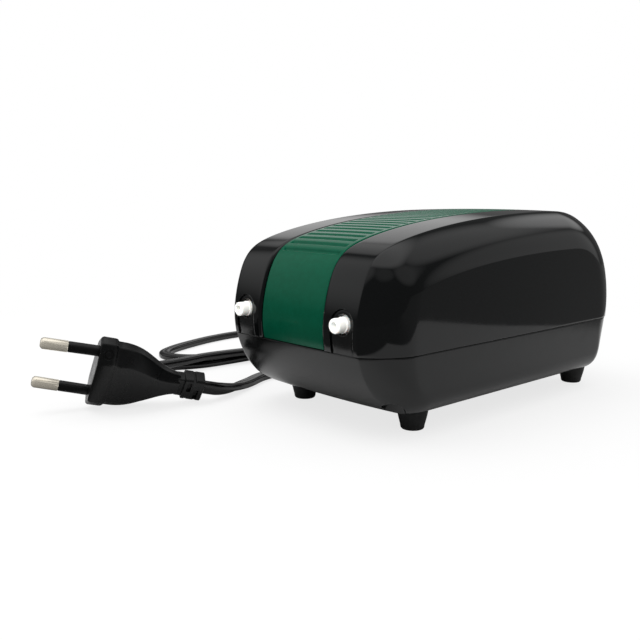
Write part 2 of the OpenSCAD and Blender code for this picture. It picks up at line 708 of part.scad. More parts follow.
// n-sided squarish oval of width w and thickness t swept along a path; the section starts
// turned by roll degrees about the path and is level from point roll_end on
module sweep(path, w, t, n, roll = 0, roll_end = 0) {
    last = len(path) - 1;
    skin([for (i = [0:last])
        let (dir = unit(path[min(last, i+1)] - path[max(0, i-1)]),
            level = unit(cross(dir, [0, 0, 1])),
            up = cross(level, dir),
            r = roll*(1-smooth_step(0, roll_end, i)),
            across = cos(r)*level + sin(r)*up,
            over = cos(r)*up - sin(r)*level)
        [for (k = [0:n-1])
            let (a = 360*k/n, m = pow(pow(abs(cos(a)), 3)+pow(abs(sin(a)), 3), -1/3))
            path[i] + across*w/2*m*cos(a) + over*t/2*m*sin(a)]]);
}
module wire(points, d) sweep(through(points, 2), d, d, 8);
// x, y, z along each lead, from a connector to a bobbin lug
lead_runs = [
    [[-26, 0.6, 14], [-26, -2.4, 14], [-26, -5, 14], [-25, -6.8, 15.4], [-22.4, -5.4, 17.4],
        [-19, 0, 18.6], [-14.5, 8, 19.2], [-12, 14, 20], [-12, 18.4, 20.2]],
    [[-20, 0.6, 14], [-20, -2.4, 14], [-20, -5, 14], [-18.4, -6.6, 15.4], [-15.6, -4.6, 17.4],
        [-11, 4, 18.4], [-6.6, 12, 19.8], [-5, 18.4, 20.2]]];
module coil_leads() color("#b03a2e") at_datum() for (run = lead_runs) wire(run, 1.6);

lay = cable_t/2 + 0.05;  // centre height of the cable lying on the table
// x, y, z along the cable, from the plug to the clamp
cable_run = [
    [-47.57, -83.44, 6.22], [-46.64, -81.08, 5.62], [-45.56, -78.37, 4.93], [-45.5, -74.4, 3.9],
    [-48.1, -67, 2.5], [-53, -56, lay+0.1], [-58.5, -44, lay], [-60.5, -30, lay],
    [-60.5, -13, lay+0.2], [-66, -1, 2.8], [-75, 1, 3.8], [-83, -8, 4.8], [-88.5, -22, 5.1],
    [-92, -37, 5.1], [-93, -50, 5.1], [-91.5, -62, 5.1], [-91.5, -73, 5.1], [-94.5, -83, 4.8],
    [-101, -88.5, 3.8], [-107, -85, 2.5], [-106.5, -74, lay+0.1], [-99.5, -62, lay],
    [-94.5, -50, lay], [-93.5, -37, lay], [-93.5, -24, lay], [-93, -8, lay], [-93.5, 8, lay],
    [-98.5, 19, lay], [-107, 19, lay], [-111, 7, lay], [-107.5, -8, lay], [-103.4, -21, lay],
    [-103.6, -35, lay], [-108.5, -46, lay], [-117, -51.5, lay], [-125.5, -50, lay],
    [-132.5, -41, lay], [-138.5, -27, lay], [-143.5, -10, lay], [-145, 9, lay],
    [-140, 30, lay], [-126, 49, lay], [-104, 61, lay], [-80, 69, lay+0.5], [-58, 75.5, 5],
    [-40.5, 79, 12], [-30, 78, 15.6], [-25.2, 72.5, 16], [entry_x, 66, entry_z],
    [entry_x, 58, entry_z], [entry_x, 47.5, entry_z], [-23.4, 41, 16], [-22.2, 35, 16],
    [-22, 28, 16], [-22, 11.5, 16]];
// x of each core as it leaves the jacket, half-way, and in its connector
core_bends = [[-23.2, -24.4, connector_x[0]], [-20.9, -20.4, connector_x[1]]];
module mains_cable() color("#161616") at_datum() {
    sweep(through(cable_run, 3), cable_w, cable_t, 10, roll = 59.3, roll_end = 14);
    // the two cores past the end of the jacket
    for (x = core_bends)
        wire([[x[0], 12.5, entry_z], [x[1], 10, 15.2], [x[2], 7.6, connector_z],
            [x[2], 5.4, connector_z], [x[2], 3.4, connector_z]], 1.8);
}

// ---- plug: its pins point along local +X, its width runs along local Z ----
plug_pos = [-60.65, -116.35, 14.6];
plug_rot = [-30.7, -13.3, -111.65];
shank_r = 1.5;    // pin inside its sleeve
sleeve_r = 1.75;
pin_edge_r = 1;
// x, share of the half width, share of the half thickness
plug_stations = [
    [0, 0.96, 0.95], [-0.6, 1, 1], [-5.4, 1, 1], [-6, 0.95, 0.95], [-9, 0.935, 0.93],
    [-12, 0.9, 0.92], [-15, 0.83, 0.9], [-18, 0.71, 0.86], [-21, 0.57, 0.8],
    [-24, 0.44, 0.72], [-27, 0.35, 0.6], [-30, 0.3, 0.5]];
// section with cut corners: shares of the half width and the half thickness
plug_ring = [
    [1, 0.3], [0.96, 0.42], [0.62, 0.96], [0.54, 1],
    [-0.54, 1], [-0.62, 0.96], [-0.96, 0.42], [-1, 0.3],
    [-1, -0.3], [-0.96, -0.42], [-0.62, -0.96], [-0.54, -1],
    [0.54, -1], [0.62, -0.96], [0.96, -0.42], [1, -0.3]];
module at_plug() { translate(plug_pos) rotate(plug_rot) children(); }
module at_pins() {
    for (s = [-1, 1]) translate([0, 0, s*plug_pitch/2]) rotate([0, s*plug_lean, 0]) children();
}
module plug_loft() skin([for (s = plug_stations)
    [for (p = plug_ring) [s[0], p[1]*plug_t/2*s[2], p[0]*plug_w/2*s[1]]]], flip = true);
// strain relief block, slotted from alternate sides
module strain_relief() difference() {
    box([-39, -3.3, -4.6], [-29, 3.3, 4.6]);
    for (i = [0:2]) translate([-31.8-i*2.6, 0, 0])
        box([-0.6, -5, i%2 == 0 ? -6 : 1.9], [0.6, 5, i%2 == 0 ? -1.9 : 6]);
}
module plug_body() color("#141414") at_datum() at_plug() difference() {
    union() {
        plug_loft();
        strain_relief();
    }
    at_pins() x_cyl(shank_r, -8, 5);
    at_pins() x_cyl(sleeve_r, -2, 5);
    // cable channel in the relief
    box([-50, -1.9, -2.9], [-28, 1.9, 2.9]);
}
module plug_pins() color("#c9b98a") at_datum() at_plug() at_pins() {
    x_cyl(shank_r, -8, plug_pin_l-8);
    rotate([0, 90, 0]) rotate_extrude() polygon(concat(
        [[0, plug_pin_l-8.6], [plug_pin_d/2, plug_pin_l-8.6]],
        quarter_arc(plug_pin_d/2-pin_edge_r, plug_pin_l-pin_edge_r, pin_edge_r, 0),
        [[0, plug_pin_l]]));
}
module pin_sleeves() color("#0e0e0e") at_datum() at_plug() at_pins() difference() {
    x_cyl(sleeve_r, -2, plug_pin_l-9);
    x_cyl(shank_r, -3, plug_pin_l);
}

upper_shell();
lower_shell();
trim_panel();
rubber_feet();
case_screws();
outlet_nozzle_left();
outlet_nozzle_right();
outlet_hose_left();
outlet_hose_right();
iron_core();
coil_bobbin();
coil_winding();
core_screws();
arm_left();
arm_right();
magnet_left();
magnet_right();
pivot_pins();
pivot_clips();
diaphragm_left();
diaphragm_right();
diaphragm_screw_left();
diaphragm_screw_right();
diaphragm_washer_left();
diaphragm_washer_right();
clamp_frame_left();
clamp_frame_right();
air_chamber_left();
air_chamber_right();
inlet_flap_left();
inlet_flap_right();
outlet_flap_left();
outlet_flap_right();
chamber_cover_left();
chamber_cover_right();
chamber_screws();
filter_felt();
filter_cover();
cable_grommet();
cable_clamp();
cable_clamp_screws();
wire_connectors();
coil_leads();
mains_cable();
plug_body();
plug_pins();
pin_sleeves();
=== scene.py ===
# Twin-outlet air pump with its mains cable and plug.
# X runs across the pump (+X right), the outlets face -Y (front), the cable leaves at +Y (rear)
# and +Z is up. Sizes are in millimetres with heights counted from the table, unless noted;
# make() turns them into metres in the frame, whose zero lies above the table.
import bpy
import bmesh
import json
import math
import numpy as np
from mathutils import Vector, Matrix

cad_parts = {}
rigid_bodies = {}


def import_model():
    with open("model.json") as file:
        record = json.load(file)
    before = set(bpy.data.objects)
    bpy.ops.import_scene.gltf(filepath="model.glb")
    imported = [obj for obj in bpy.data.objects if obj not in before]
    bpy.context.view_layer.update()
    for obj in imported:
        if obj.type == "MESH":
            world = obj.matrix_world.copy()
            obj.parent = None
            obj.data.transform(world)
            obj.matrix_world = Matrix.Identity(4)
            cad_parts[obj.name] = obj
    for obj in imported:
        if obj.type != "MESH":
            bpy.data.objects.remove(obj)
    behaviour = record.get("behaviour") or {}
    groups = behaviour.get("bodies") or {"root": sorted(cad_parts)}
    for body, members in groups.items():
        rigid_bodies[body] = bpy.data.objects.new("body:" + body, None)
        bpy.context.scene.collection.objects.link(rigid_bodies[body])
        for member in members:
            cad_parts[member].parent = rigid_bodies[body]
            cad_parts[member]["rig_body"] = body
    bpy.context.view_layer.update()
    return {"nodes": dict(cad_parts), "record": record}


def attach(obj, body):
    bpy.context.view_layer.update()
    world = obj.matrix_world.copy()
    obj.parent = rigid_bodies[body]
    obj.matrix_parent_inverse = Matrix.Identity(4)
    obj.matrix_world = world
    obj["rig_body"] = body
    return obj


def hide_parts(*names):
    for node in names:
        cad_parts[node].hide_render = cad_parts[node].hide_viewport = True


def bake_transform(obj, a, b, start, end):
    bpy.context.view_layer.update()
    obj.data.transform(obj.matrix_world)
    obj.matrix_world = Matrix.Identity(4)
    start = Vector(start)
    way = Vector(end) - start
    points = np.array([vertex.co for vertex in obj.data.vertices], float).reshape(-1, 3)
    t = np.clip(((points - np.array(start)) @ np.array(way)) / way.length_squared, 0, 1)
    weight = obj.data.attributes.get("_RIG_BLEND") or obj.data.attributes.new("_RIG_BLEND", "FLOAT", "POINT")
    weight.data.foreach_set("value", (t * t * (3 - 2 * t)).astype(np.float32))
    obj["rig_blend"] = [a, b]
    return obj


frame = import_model()
for spare in ("Cube", "Light", "Camera"):
    if spare in bpy.data.objects:
        bpy.data.objects.remove(bpy.data.objects[spare])

FRAME_ZERO = 7.0                    # height of the frame's zero above the table
MM = 0.001
SHARP = 32.0                        # edges steeper than this many degrees are shaded sharp

OUTLET_X, OUTLET_Z = 23.6, 36.7     # outlet axes, mirrored in X
FOOT_X, FOOT_Y = 26.6, 48.6         # foot centres, mirrored in X and Y
CABLE_X, CABLE_Z = -24.6, 16        # axis of the cable entry at the rear
BASE_Z = 7.25                       # underside of the casing
BAND_HALF = 30.0                    # half width of the casing's middle band
CASING_HALF = 39.7                  # half width of the whole casing
BAND_CROWN = 0.5                    # rise of the band's middle over its edges


# ------------------------------------------------------------------ mesh helpers

def smooth(ob, sharp):
    mesh = ob.data
    mesh.polygons.foreach_set("use_smooth", [True] * len(mesh.polygons))
    mesh.set_sharp_from_angle(angle=math.radians(sharp))
    mesh.update()


def remove(ob):
    mesh = ob.data
    bpy.data.objects.remove(ob)
    bpy.data.meshes.remove(mesh)


def make(name, points, faces, sharp=SHARP):
    """Welded mesh object from millimetre points with heights counted from the table."""
    points = np.asarray(points, float).reshape(-1, 3).copy()
    points[:, 2] -= FRAME_ZERO
    points *= MM
    mesh = bpy.data.meshes.new(name)
    mesh.from_pydata(points.tolist(), [], [tuple(int(i) for i in face) for face in faces])
    bm = bmesh.new()
    bm.from_mesh(mesh)
    bmesh.ops.remove_doubles(bm, verts=bm.verts, dist=2e-6)
    bmesh.ops.dissolve_degenerate(bm, edges=bm.edges, dist=1e-7)
    bmesh.ops.recalc_face_normals(bm, faces=bm.faces)
    if bm.calc_volume(signed=True) < 0:
        bmesh.ops.reverse_faces(bm, faces=bm.faces)
    bm.to_mesh(mesh)
    bm.free()
    ob = bpy.data.objects.new(name, mesh)
    bpy.context.scene.collection.objects.link(ob)
    smooth(ob, sharp)
    return ob


def grid(rows, per_row, base=0, close_rows=False, close_each=False):
    """Quads of a point grid stored row by row."""
    faces = []
    for i in range(rows if close_rows else rows - 1):
        here, after = base + i * per_row, base + ((i + 1) % rows) * per_row
        for j in range(per_row if close_each else per_row - 1):
            k = (j + 1) % per_row
            faces.append((here + j, here + k, after + k, after + j))
    return faces


def end_caps(rows, per_row):
    """One face over the first row and one over the last row of a tube-like grid."""
    last = (rows - 1) * per_row
    return [tuple(range(per_row - 1, -1, -1)), tuple(range(last, last + per_row))]


def angles(count):
    return np.linspace(0, 2 * np.pi, count, endpoint=False)


def arc(centre_1, centre_2, radius, start, end, count):
    """Points of an arc from start to end degrees."""
    turns = np.radians(np.linspace(start, end, count))
    return [(centre_1 + radius * math.cos(a), centre_2 + radius * math.sin(a)) for a in turns]


def turned_points(profile, count, axis):
    """Rings of a turned piece; the profile lists (radius, position along the axis)."""
    turns = angles(count)
    rings = []
    for radius, height in np.array(profile, float):
        first, second = radius * np.cos(turns), radius * np.sin(turns)
        along = np.full(count, height)
        order = {"X": (along, first, second),
                 "Y": (first, along, second),
                 "Z": (first, second, along)}[axis]
        rings.append(np.stack(order, 1))
    return np.concatenate(rings)


def lathe(name, profile, count, axis, centre, closed=True):
    points = turned_points(profile, count, axis) + np.array(centre, float)
    return make(name, points, grid(len(profile), count, close_rows=closed, close_each=True))


def prism(name, outline, low, high, axis):
    """Outline in the two other axes, drawn out from low to high along axis Y or Z."""
    points = [(p, q, along) if axis == "Z" else (p, along, q)
              for along in (low, high) for p, q in outline]
    count = len(outline)
    return make(name, points, grid(2, count, close_each=True) + end_caps(2, count))


def cylinder(radius, centre, low, high, axis, count=64):
    outline = [(centre[0] + radius * math.cos(a), centre[1] + radius * math.sin(a))
               for a in angles(count)]
    return prism("cylinder", outline, low, high, axis)


def join(name, pieces, sharp=SHARP):
    """Merges the pieces into the first one."""
    bm = bmesh.new()
    for piece in pieces:
        bm.from_mesh(piece.data)
    kept = pieces[0]
    bm.to_mesh(kept.data)
    bm.free()
    for piece in pieces[1:]:
        remove(piece)
    kept.name = name
    smooth(kept, sharp)
    return kept


def boolean(ob, tool, operation="DIFFERENCE"):
    """Applies a boolean with the tool, then removes the tool."""
    modifier = ob.modifiers.new("cut", "BOOLEAN")
    modifier.operation = operation
    modifier.solver = "EXACT"
    modifier.object = tool
    depsgraph = bpy.context.evaluated_depsgraph_get()
    mesh = bpy.data.meshes.new_from_object(ob.evaluated_get(depsgraph))
    ob.modifiers.clear()
    old = ob.data
    ob.data = mesh
    bpy.data.meshes.remove(old)
    bm = bmesh.new()
    bm.from_mesh(ob.data)
    bmesh.ops.remove_doubles(bm, verts=bm.verts, dist=1e-6)
    bmesh.ops.dissolve_degenerate(bm, edges=bm.edges, dist=1e-6)
    bm.to_mesh(ob.data)
    bm.free()
    smooth(ob, SHARP)
    remove(tool)
    return ob


def smoothstep(low, high, value):
    part = np.clip((value - low) / (high - low), 0, 1)
    return part * part * (3 - 2 * part)


# ------------------------------------------------------------------ casing surface
# The casing's side view is a closed loop in the YZ plane. A place on it is a fraction of its
# length, from the frontmost point up over the roof, down the rear and back along the base.

SHOULDER = np.array([-72.1, 55.3])          # where the front meets the roof
SHOULDER_WAY = np.array([math.cos(math.radians(50)), math.sin(math.radians(50))])
# cubic Bezier segments, each four (y, z) points
LOOP_SEGMENTS = [
    ((-77.8, 34), (-77.8, 42.8), SHOULDER - 2 * SHOULDER_WAY, SHOULDER),
    (SHOULDER, SHOULDER + 7.8 * SHOULDER_WAY, (-31.6, 68.9), (24.4, 68.9)),
    ((24.4, 68.9), (48.5, 68.9), (61, 52.7), (61, 31.7)),
    ((61, 31.7), (61, 21.2), (52.2, 6.7), (44.4, 6.7)),
    ((44.4, 6.7), (11.3, 6.7), (-21.7, 6.7), (-54.8, 6.7)),
    ((-54.8, 6.7), (-65.3, 6.7), (-77.8, 18.4), (-77.8, 34))]
SEGMENT_STEPS = 800
LOOP_STEPS = 6000


def bezier(controls, count):
    t = np.linspace(0, 1, count, endpoint=False)[:, None]
    p0, p1, p2, p3 = [np.array(point, float) for point in controls]
    return ((1 - t) ** 3 * p0 + 3 * (1 - t) ** 2 * t * p1
            + 3 * (1 - t) * t * t * p2 + t ** 3 * p3)


def ring_smooth(values, reach):
    """Moving average round a closed ring."""
    weights = np.ones(2 * reach + 1) / (2 * reach + 1)
    return np.convolve(np.concatenate([values[-reach:], values, values[:reach]]), weights, "valid")


def unit(y, z):
    length = np.hypot(y, z)
    return y / length, z / length


def casing_loop():
    """Evenly spaced loop, its length and the places of the segment ends."""
    raw = np.concatenate([bezier(controls, SEGMENT_STEPS) for controls in LOOP_SEGMENTS])
    steps = np.linalg.norm(np.roll(raw, -1, 0) - raw, axis=1)
    run = np.concatenate([[0], np.cumsum(steps)])
    length = run[-1]
    ends = run[::SEGMENT_STEPS] / length
    places = np.arange(LOOP_STEPS) / LOOP_STEPS
    closed = np.concatenate([raw, raw[:1]])
    y = np.interp(places * length, run, closed[:, 0])
    z = np.interp(places * length, run, closed[:, 1])
    # soften the shoulder, fading out along the loop
    distance = np.abs((places - ends[1] + 0.5) % 1.0 - 0.5) * length
    weight = np.exp(-(distance / 9.0) ** 2)
    for _ in range(2):
        y = y * (1 - weight) + ring_smooth(y, 75) * weight
        z = z * (1 - weight) + ring_smooth(z, 75) * weight
    return y, z, length, ends


def loop_normals(y, z):
    """Outward normals: a close version and a wide, heavily smoothed one."""
    along_y = np.roll(y, -1) - np.roll(y, 1)
    along_z = np.roll(z, -1) - np.roll(z, 1)
    close_y, close_z = unit(-along_z, along_y)
    close = unit(ring_smooth(close_y, 14), ring_smooth(close_z, 14))
    wide_y, wide_z = close
    for _ in range(2):
        wide_y, wide_z = ring_smooth(wide_y, 130), ring_smooth(wide_z, 130)
    return close, unit(wide_y, wide_z)


LOOP_Y, LOOP_Z, LOOP_LENGTH, SEGMENT_ENDS = casing_loop()
(NORMAL_Y, NORMAL_Z), (WIDE_Y, WIDE_Z) = loop_normals(LOOP_Y, LOOP_Z)
SHOULDER_PLACE = SEGMENT_ENDS[1]
FLAT_REAR = SEGMENT_ENDS[4]                 # rear end of the flat base
FLAT_FRONT = SEGMENT_ENDS[5] - 1.0          # front end of the flat base, counted backwards


def at(values, place):
    """Loop values read at any place, wrapping round."""
    position = (np.asarray(place) % 1.0) * LOOP_STEPS
    i = np.floor(position).astype(int) % LOOP_STEPS
    part = position - np.floor(position)
    return values[i] * (1 - part) + values[(i + 1) % LOOP_STEPS] * part


def band_crown(x):
    return BAND_CROWN * (1 - (x / BAND_HALF) ** 2)


def band_point(x, place, depth):
    """Middle band at signed x: slightly crowned across."""
    inset = depth - band_crown(x)
    return np.stack([np.full(np.shape(place), x, float),
                     at(LOOP_Y, place) - inset * at(NORMAL_Y, place),
                     at(LOOP_Z, place) - inset * at(NORMAL_Z, place)], -1)


def lift_off_base(normal_z):
    """0 on the flat base, 1 away from it."""
    return smoothstep(-0.98, -0.35, normal_z)


def side_point(outward, place, depth, side):
    """Side bulge: outward runs from 0 at the band to 1 at the casing's full width."""
    wide = smoothstep(0.02, 0.6, outward)
    normal_y, normal_z = unit(
        at(NORMAL_Y, place) * (1 - wide) + at(WIDE_Y, place) * wide,
        at(NORMAL_Z, place) * (1 - wide) + at(WIDE_Z, place) * wide)
    start = np.radians(36) * lift_off_base(normal_z)
    turn = start + (np.pi / 2 - start) * outward
    x = BAND_HALF + ((CASING_HALF - depth - BAND_HALF)
                     * (np.sin(turn) - np.sin(start)) / (1 - np.sin(start)))
    # how far the bulge draws in: at front and rear, on the roof and on the base
    draw = (16 * normal_y ** 2 + 13.9 * np.maximum(0, normal_z) ** 2
            + 7 * np.maximum(0, -normal_z) ** 2)
    inset = depth + draw * (np.cos(start) - np.cos(turn)) / np.cos(start)
    return np.stack([side * x, at(LOOP_Y, place) - inset * normal_y,
                     at(LOOP_Z, place) - inset * normal_z], -1)


def corner_point(part, place, depth, side):
    """Small rounding where the band meets the side bulge; part runs from 0 to 1 across it."""
    start = band_point(side * (BAND_HALF - 0.4), place, depth)
    corner = side_point(0.0, place, depth, side)
    outward = 0.022 + 0.02 * (1 - lift_off_base(at(NORMAL_Z, place)))
    end = side_point(outward, place, depth, side)
    return (1 - part) ** 2 * start + 2 * (1 - part) * part * corner + part * part * end


# A column is a line round the casing: ("band", x, extra depth), ("corner", part, side)
# or ("side", outward, side).

def column_points(column, place, depth):
    kind, position, extra = column
    if kind == "band":
        return band_point(position, place, depth + extra)
    if kind == "side":
        return side_point(position, place, depth, extra)
    return corner_point(position, place, depth, extra)


def crossing(column, depth, height, front):
    """Place where a column at this depth passes a height, at the front or at the rear."""
    places = np.linspace(-0.16, 0.06, 1400) if front else np.linspace(0.44, 0.75, 2000)
    heights = column_points(column, places, depth)[:, 2]
    if front:
        return float(np.interp(height, np.maximum.accumulate(heights), places))
    return float(np.interp(-height, -np.minimum.accumulate(heights), places))


CHANNEL_HALF = 15.2                 # half width of the roof channel that holds the trim
CHANNEL_DEPTH = 2.1
CHANNEL_EDGE_RADIUS = 1.1
SIDE_STEPS = [0.06, 0.1, 0.15, 0.2, 0.2533, 0.31, 0.37, 0.43, 0.5,
              0.57, 0.64, 0.71, 0.78, 0.85, 0.91, 0.96, 1.0]
CORNER_STEPS = (0.25, 0.5, 0.75, 1.0)


def half_columns(side, upper):
    """Columns from near the middle out to one side."""
    if upper:
        columns = [("band", side * CHANNEL_HALF, CHANNEL_DEPTH), ("band", side * CHANNEL_HALF, 1.7)]
        radius = CHANNEL_EDGE_RADIUS
        for turn in np.radians(np.linspace(0, 90, 8)):
            columns.append(("band", side * (CHANNEL_HALF + radius - radius * math.cos(turn)),
                            radius - radius * math.sin(turn)))
        band_steps = [17.2, 18.5, 20, 21.5]
    else:
        columns = []
        band_steps = [15, 17, 19, 21]
    band_steps += [23, 24.5, 26, 27.5, 28.7, 29.6]
    columns += [("band", side * x, 0.0) for x in band_steps]
    columns += [("corner", part, side) for part in CORNER_STEPS]
    columns += [("side", outward, side) for outward in SIDE_STEPS]
    return columns


def casing_columns(upper):
    """All columns from left to right; the upper shell's include the roof channel."""
    half, extra = (13, CHANNEL_DEPTH) if upper else (12, 0.0)
    middle = [("band", x, extra) for x in np.linspace(-half, half, 9)]
    return half_columns(-1, upper)[::-1] + middle + half_columns(1, upper)


# ------------------------------------------------------------------ casing shells

ROOF_ROWS = 308                     # rows over the roof, parting edges included
CURVE_ROWS = 34                     # rows of the lower shell's front and rear curves
FLAT_ROWS = 70                      # rows of its flat base, parting edge roundings included
EDGE_TURNS = [0, 22, 45, 67, 90]    # stations of the rounded parting edge, degrees
PANEL_STEPS = [0.05, 0.12, 0.2, 0.3, 0.42, 0.55, 0.7, 0.85, 1.0]
PANEL_DOME = 0.2


def parting_edge(column, depth, insets, heights, front):
    """Points of the rounded parting edge and the place where it ends on the skin."""
    places = [crossing(column, depth + inset, height, front)
              for inset, height in zip(insets, heights)]
    points = [column_points(column, np.array([place]), depth + inset)[0]
              for place, inset in zip(places, insets)]
    return points, places[-1]


def roof_rows(column, depth, front, rear, edge_count):
    parts = np.linspace(0, 1, ROOF_ROWS - 2 * edge_count + 2)[1:-1]
    return column_points(column, front + (rear - front) * parts, depth)


def base_rows(column, depth, front, rear, edge_count):
    """Front curve down to the base plane, flat base, rear curve up."""
    floor_z = BASE_Z + depth - 0.4
    places = np.linspace(-0.2, front, 900)
    low = places[column_points(column, places, depth)[:, 2] < floor_z]
    flat_front = max(float(low[-1]), FLAT_FRONT) if len(low) else FLAT_FRONT
    places = np.linspace(rear, FLAT_REAR + 0.06, 900)
    low = places[column_points(column, places, depth)[:, 2] < floor_z]
    flat_rear = min(float(low[0]), FLAT_REAR) if len(low) else FLAT_REAR
    parts = np.linspace(0, 1, CURVE_ROWS)
    front_curve = column_points(column, front + (flat_front - front) * parts[1:], depth)
    rear_curve = column_points(column, flat_rear + (rear - flat_rear) * parts[:-1], depth)
    across = np.linspace(0, 1, FLAT_ROWS - 2 * edge_count)[1:-1][:, None]
    flat = front_curve[-1] * (1 - across) + rear_curve[0] * across
    rows = np.concatenate([front_curve, flat, rear_curve])
    rows[:, 2] = np.maximum(rows[:, 2], floor_z)
    return rows


def side_panel(ring, side, edge_z):
    """The outermost column filled across, front to rear, with a faint dome."""
    mirrored = ring[::-1]
    far_z = ring[len(ring) // 2, 2]
    rings = []
    for step in PANEL_STEPS:
        points = ring * (1 - step / 2) + mirrored * (step / 2)
        rise = np.clip((points[:, 2] - edge_z) / (far_z - edge_z), 0, 1)
        points[:, 0] += (side * PANEL_DOME * math.sin(math.pi * step / 2) ** 2
                         * np.cos(np.pi * rise / 2) ** 2)
        rings.append(points)
    return np.array(rings)


def skin(upper, depth_of, edge_z, edge_radius):
    """Point grid of one shell's skin: columns by rows, from the front parting edge round
    to the rear one, over the roof (upper) or under the base."""
    away = 1 if upper else -1
    turns = np.radians(EDGE_TURNS) if edge_radius > 0 else np.array([np.pi / 2])
    insets = edge_radius * (1 - np.sin(turns))
    heights = edge_z + away * edge_radius * (1 - np.cos(turns))
    middle_rows = roof_rows if upper else base_rows
    lines = []
    for column in casing_columns(upper):
        depth = depth_of(column)
        front_points, front = parting_edge(column, depth, insets, heights, True)
        rear_points, rear = parting_edge(column, depth, insets, heights, False)
        middle = middle_rows(column, depth, front, rear, len(turns))
        lines.append(np.concatenate([np.array(front_points), middle,
                                     np.array(rear_points[::-1])]))
    lines = np.array(lines)
    left = side_panel(lines[0], -1, edge_z)
    right = side_panel(lines[-1], 1, edge_z)
    return np.concatenate([left[::-1], lines, right])


def shell_mesh(name, outer, inner):
    """Outer and inner skins joined along both parting edges."""
    rows, per_row = outer.shape[:2]
    inner_base = rows * per_row
    faces = grid(rows, per_row)
    faces += [face[::-1] for face in grid(rows, per_row, base=inner_base)]
    for j in (0, per_row - 1):
        for i in range(rows - 1):
            here, after = i * per_row + j, (i + 1) * per_row + j
            quad = (here, inner_base + here, inner_base + after, after)
            faces.append(quad if j == 0 else quad[::-1])
    return make(name, np.concatenate([outer.reshape(-1, 3), inner.reshape(-1, 3)]), faces)


def casing_solid(depth, rows=260):
    """Closed solid inside the casing surface at this depth."""
    places = np.linspace(0, 1, rows, endpoint=False)
    lines = np.array([column_points(column, places, depth) for column in casing_columns(False)])
    centre = np.array([0, -8.0, 34.0])
    keep_x, to_centre = np.array([1, 0, 0]), np.array([0, 1, 1])
    left, right = [np.array([ring * (1 - part) + keep_x * ring[:, :1] * part
                             + to_centre * centre * part for part in (0.3, 0.7, 1.0)])
                   for ring in (lines[0], lines[-1])]
    lines = np.concatenate([left[::-1], lines, right])
    return make("inner", lines.reshape(-1, 3), grid(lines.shape[0], rows, close_each=True))


UPPER_WALL = 2.2
CHANNEL_EXTRA_WALL = 1.4            # extra depth of the inner skin under the channel
SLOT_RADIUS = 4.75                  # arched slots for the outlets


def upper_inner_depth(column):
    kind, x, extra = column
    if kind != "band":
        return UPPER_WALL
    return UPPER_WALL + CHANNEL_EXTRA_WALL * (1 - smoothstep(16.6, 18.4, abs(x))) - extra


def outlet_slot(side):
    """Cutter with an arched top, open downwards past the parting edge."""
    x, bottom = side * OUTLET_X, 20
    outline = [(x + SLOT_RADIUS * math.cos(a), OUTLET_Z + SLOT_RADIUS * math.sin(a))
               for a in np.linspace(0, math.pi, 48)]
    outline += [(x - SLOT_RADIUS, bottom), (x + SLOT_RADIUS, bottom)]
    return prism("arch", outline, -90, -68, "Y")


def upper_shell():
    shell = shell_mesh("casing_upper_shell",
                       skin(True, lambda column: 0.0, edge_z=27.7, edge_radius=0.25),
                       skin(True, upper_inner_depth, edge_z=27.7, edge_radius=0.0))
    for side in (-1, 1):
        boolean(shell, outlet_slot(side))
    return shell


TONGUE_RADIUS = 4.6
TONGUE_BOTTOM = 26.6
TONGUE_HOLE = 3.2                   # radius of the hole for the outlet
TONGUE_EDGE = 0.28                  # edge rounding
TONGUE_SET_BACK = 0.45              # face behind the casing surface
TONGUE_THICKNESS = 2.7              # from the casing surface to the tongue's rear


def arch_outline(turns, radius):
    """Arch about the outlet axis with straight legs down to the tongue's bottom."""
    points = []
    for turn in turns:
        across, up = math.cos(turn), math.sin(turn)
        reach = radius
        if up < 0:
            reach = min(radius / max(abs(across), 1e-6),
                        (OUTLET_Z - TONGUE_BOTTOM) / max(-up, 1e-6))
        points.append((reach * across, reach * up))
    return np.array(points)


def tongue(side):
    """Arched tongue of the lower shell that fills the outlet slot, with a hole in it."""
    count = 72
    edge = TONGUE_EDGE
    turns = np.linspace(-math.pi / 2, 1.5 * math.pi, count, endpoint=False)
    circle = np.array([[math.cos(turn), math.sin(turn)] for turn in turns])
    # (outline, depth) stations from the hole over the face to the rim
    stations = []
    for turn in np.radians((0, 30, 60, 90)):
        stations.append((circle * (TONGUE_HOLE + edge - edge * math.cos(turn)),
                         edge - edge * math.sin(turn)))
    face_inner = circle * (TONGUE_HOLE + edge)
    face_outer = arch_outline(turns, TONGUE_RADIUS - edge)
    for part in (0.34, 0.67, 1.0):
        stations.append((face_inner * (1 - part) + face_outer * part, 0.0))
    for turn in np.radians((30, 60, 90)):
        stations.append((arch_outline(turns, TONGUE_RADIUS - edge + edge * math.sin(turn)),
                         edge - edge * math.cos(turn)))
    reach = 1200                    # loop samples either side of the frontmost point
    front_z = np.concatenate([LOOP_Z[-reach:], LOOP_Z[:reach]])
    front_y = np.concatenate([LOOP_Y[-reach:], LOOP_Y[:reach]])

    def front_at(z):
        return np.interp(z, front_z, front_y)
    rings = []
    for outline, depth in stations:
        x, z = OUTLET_X + outline[:, 0], OUTLET_Z + outline[:, 1]
        y = front_at(z) + TONGUE_SET_BACK + depth - band_crown(x)
        rings.append(np.stack([side * x, y, z], 1))
    for outline in (stations[-1][0], stations[0][0]):
        x, z = OUTLET_X + outline[:, 0], OUTLET_Z + outline[:, 1]
        rings.append(np.stack([side * x, front_at(z) + TONGUE_THICKNESS, z], 1))
    faces = grid(len(rings), count, close_rows=True, close_each=True)
    return make("tongue", np.concatenate(rings), faces, 40)


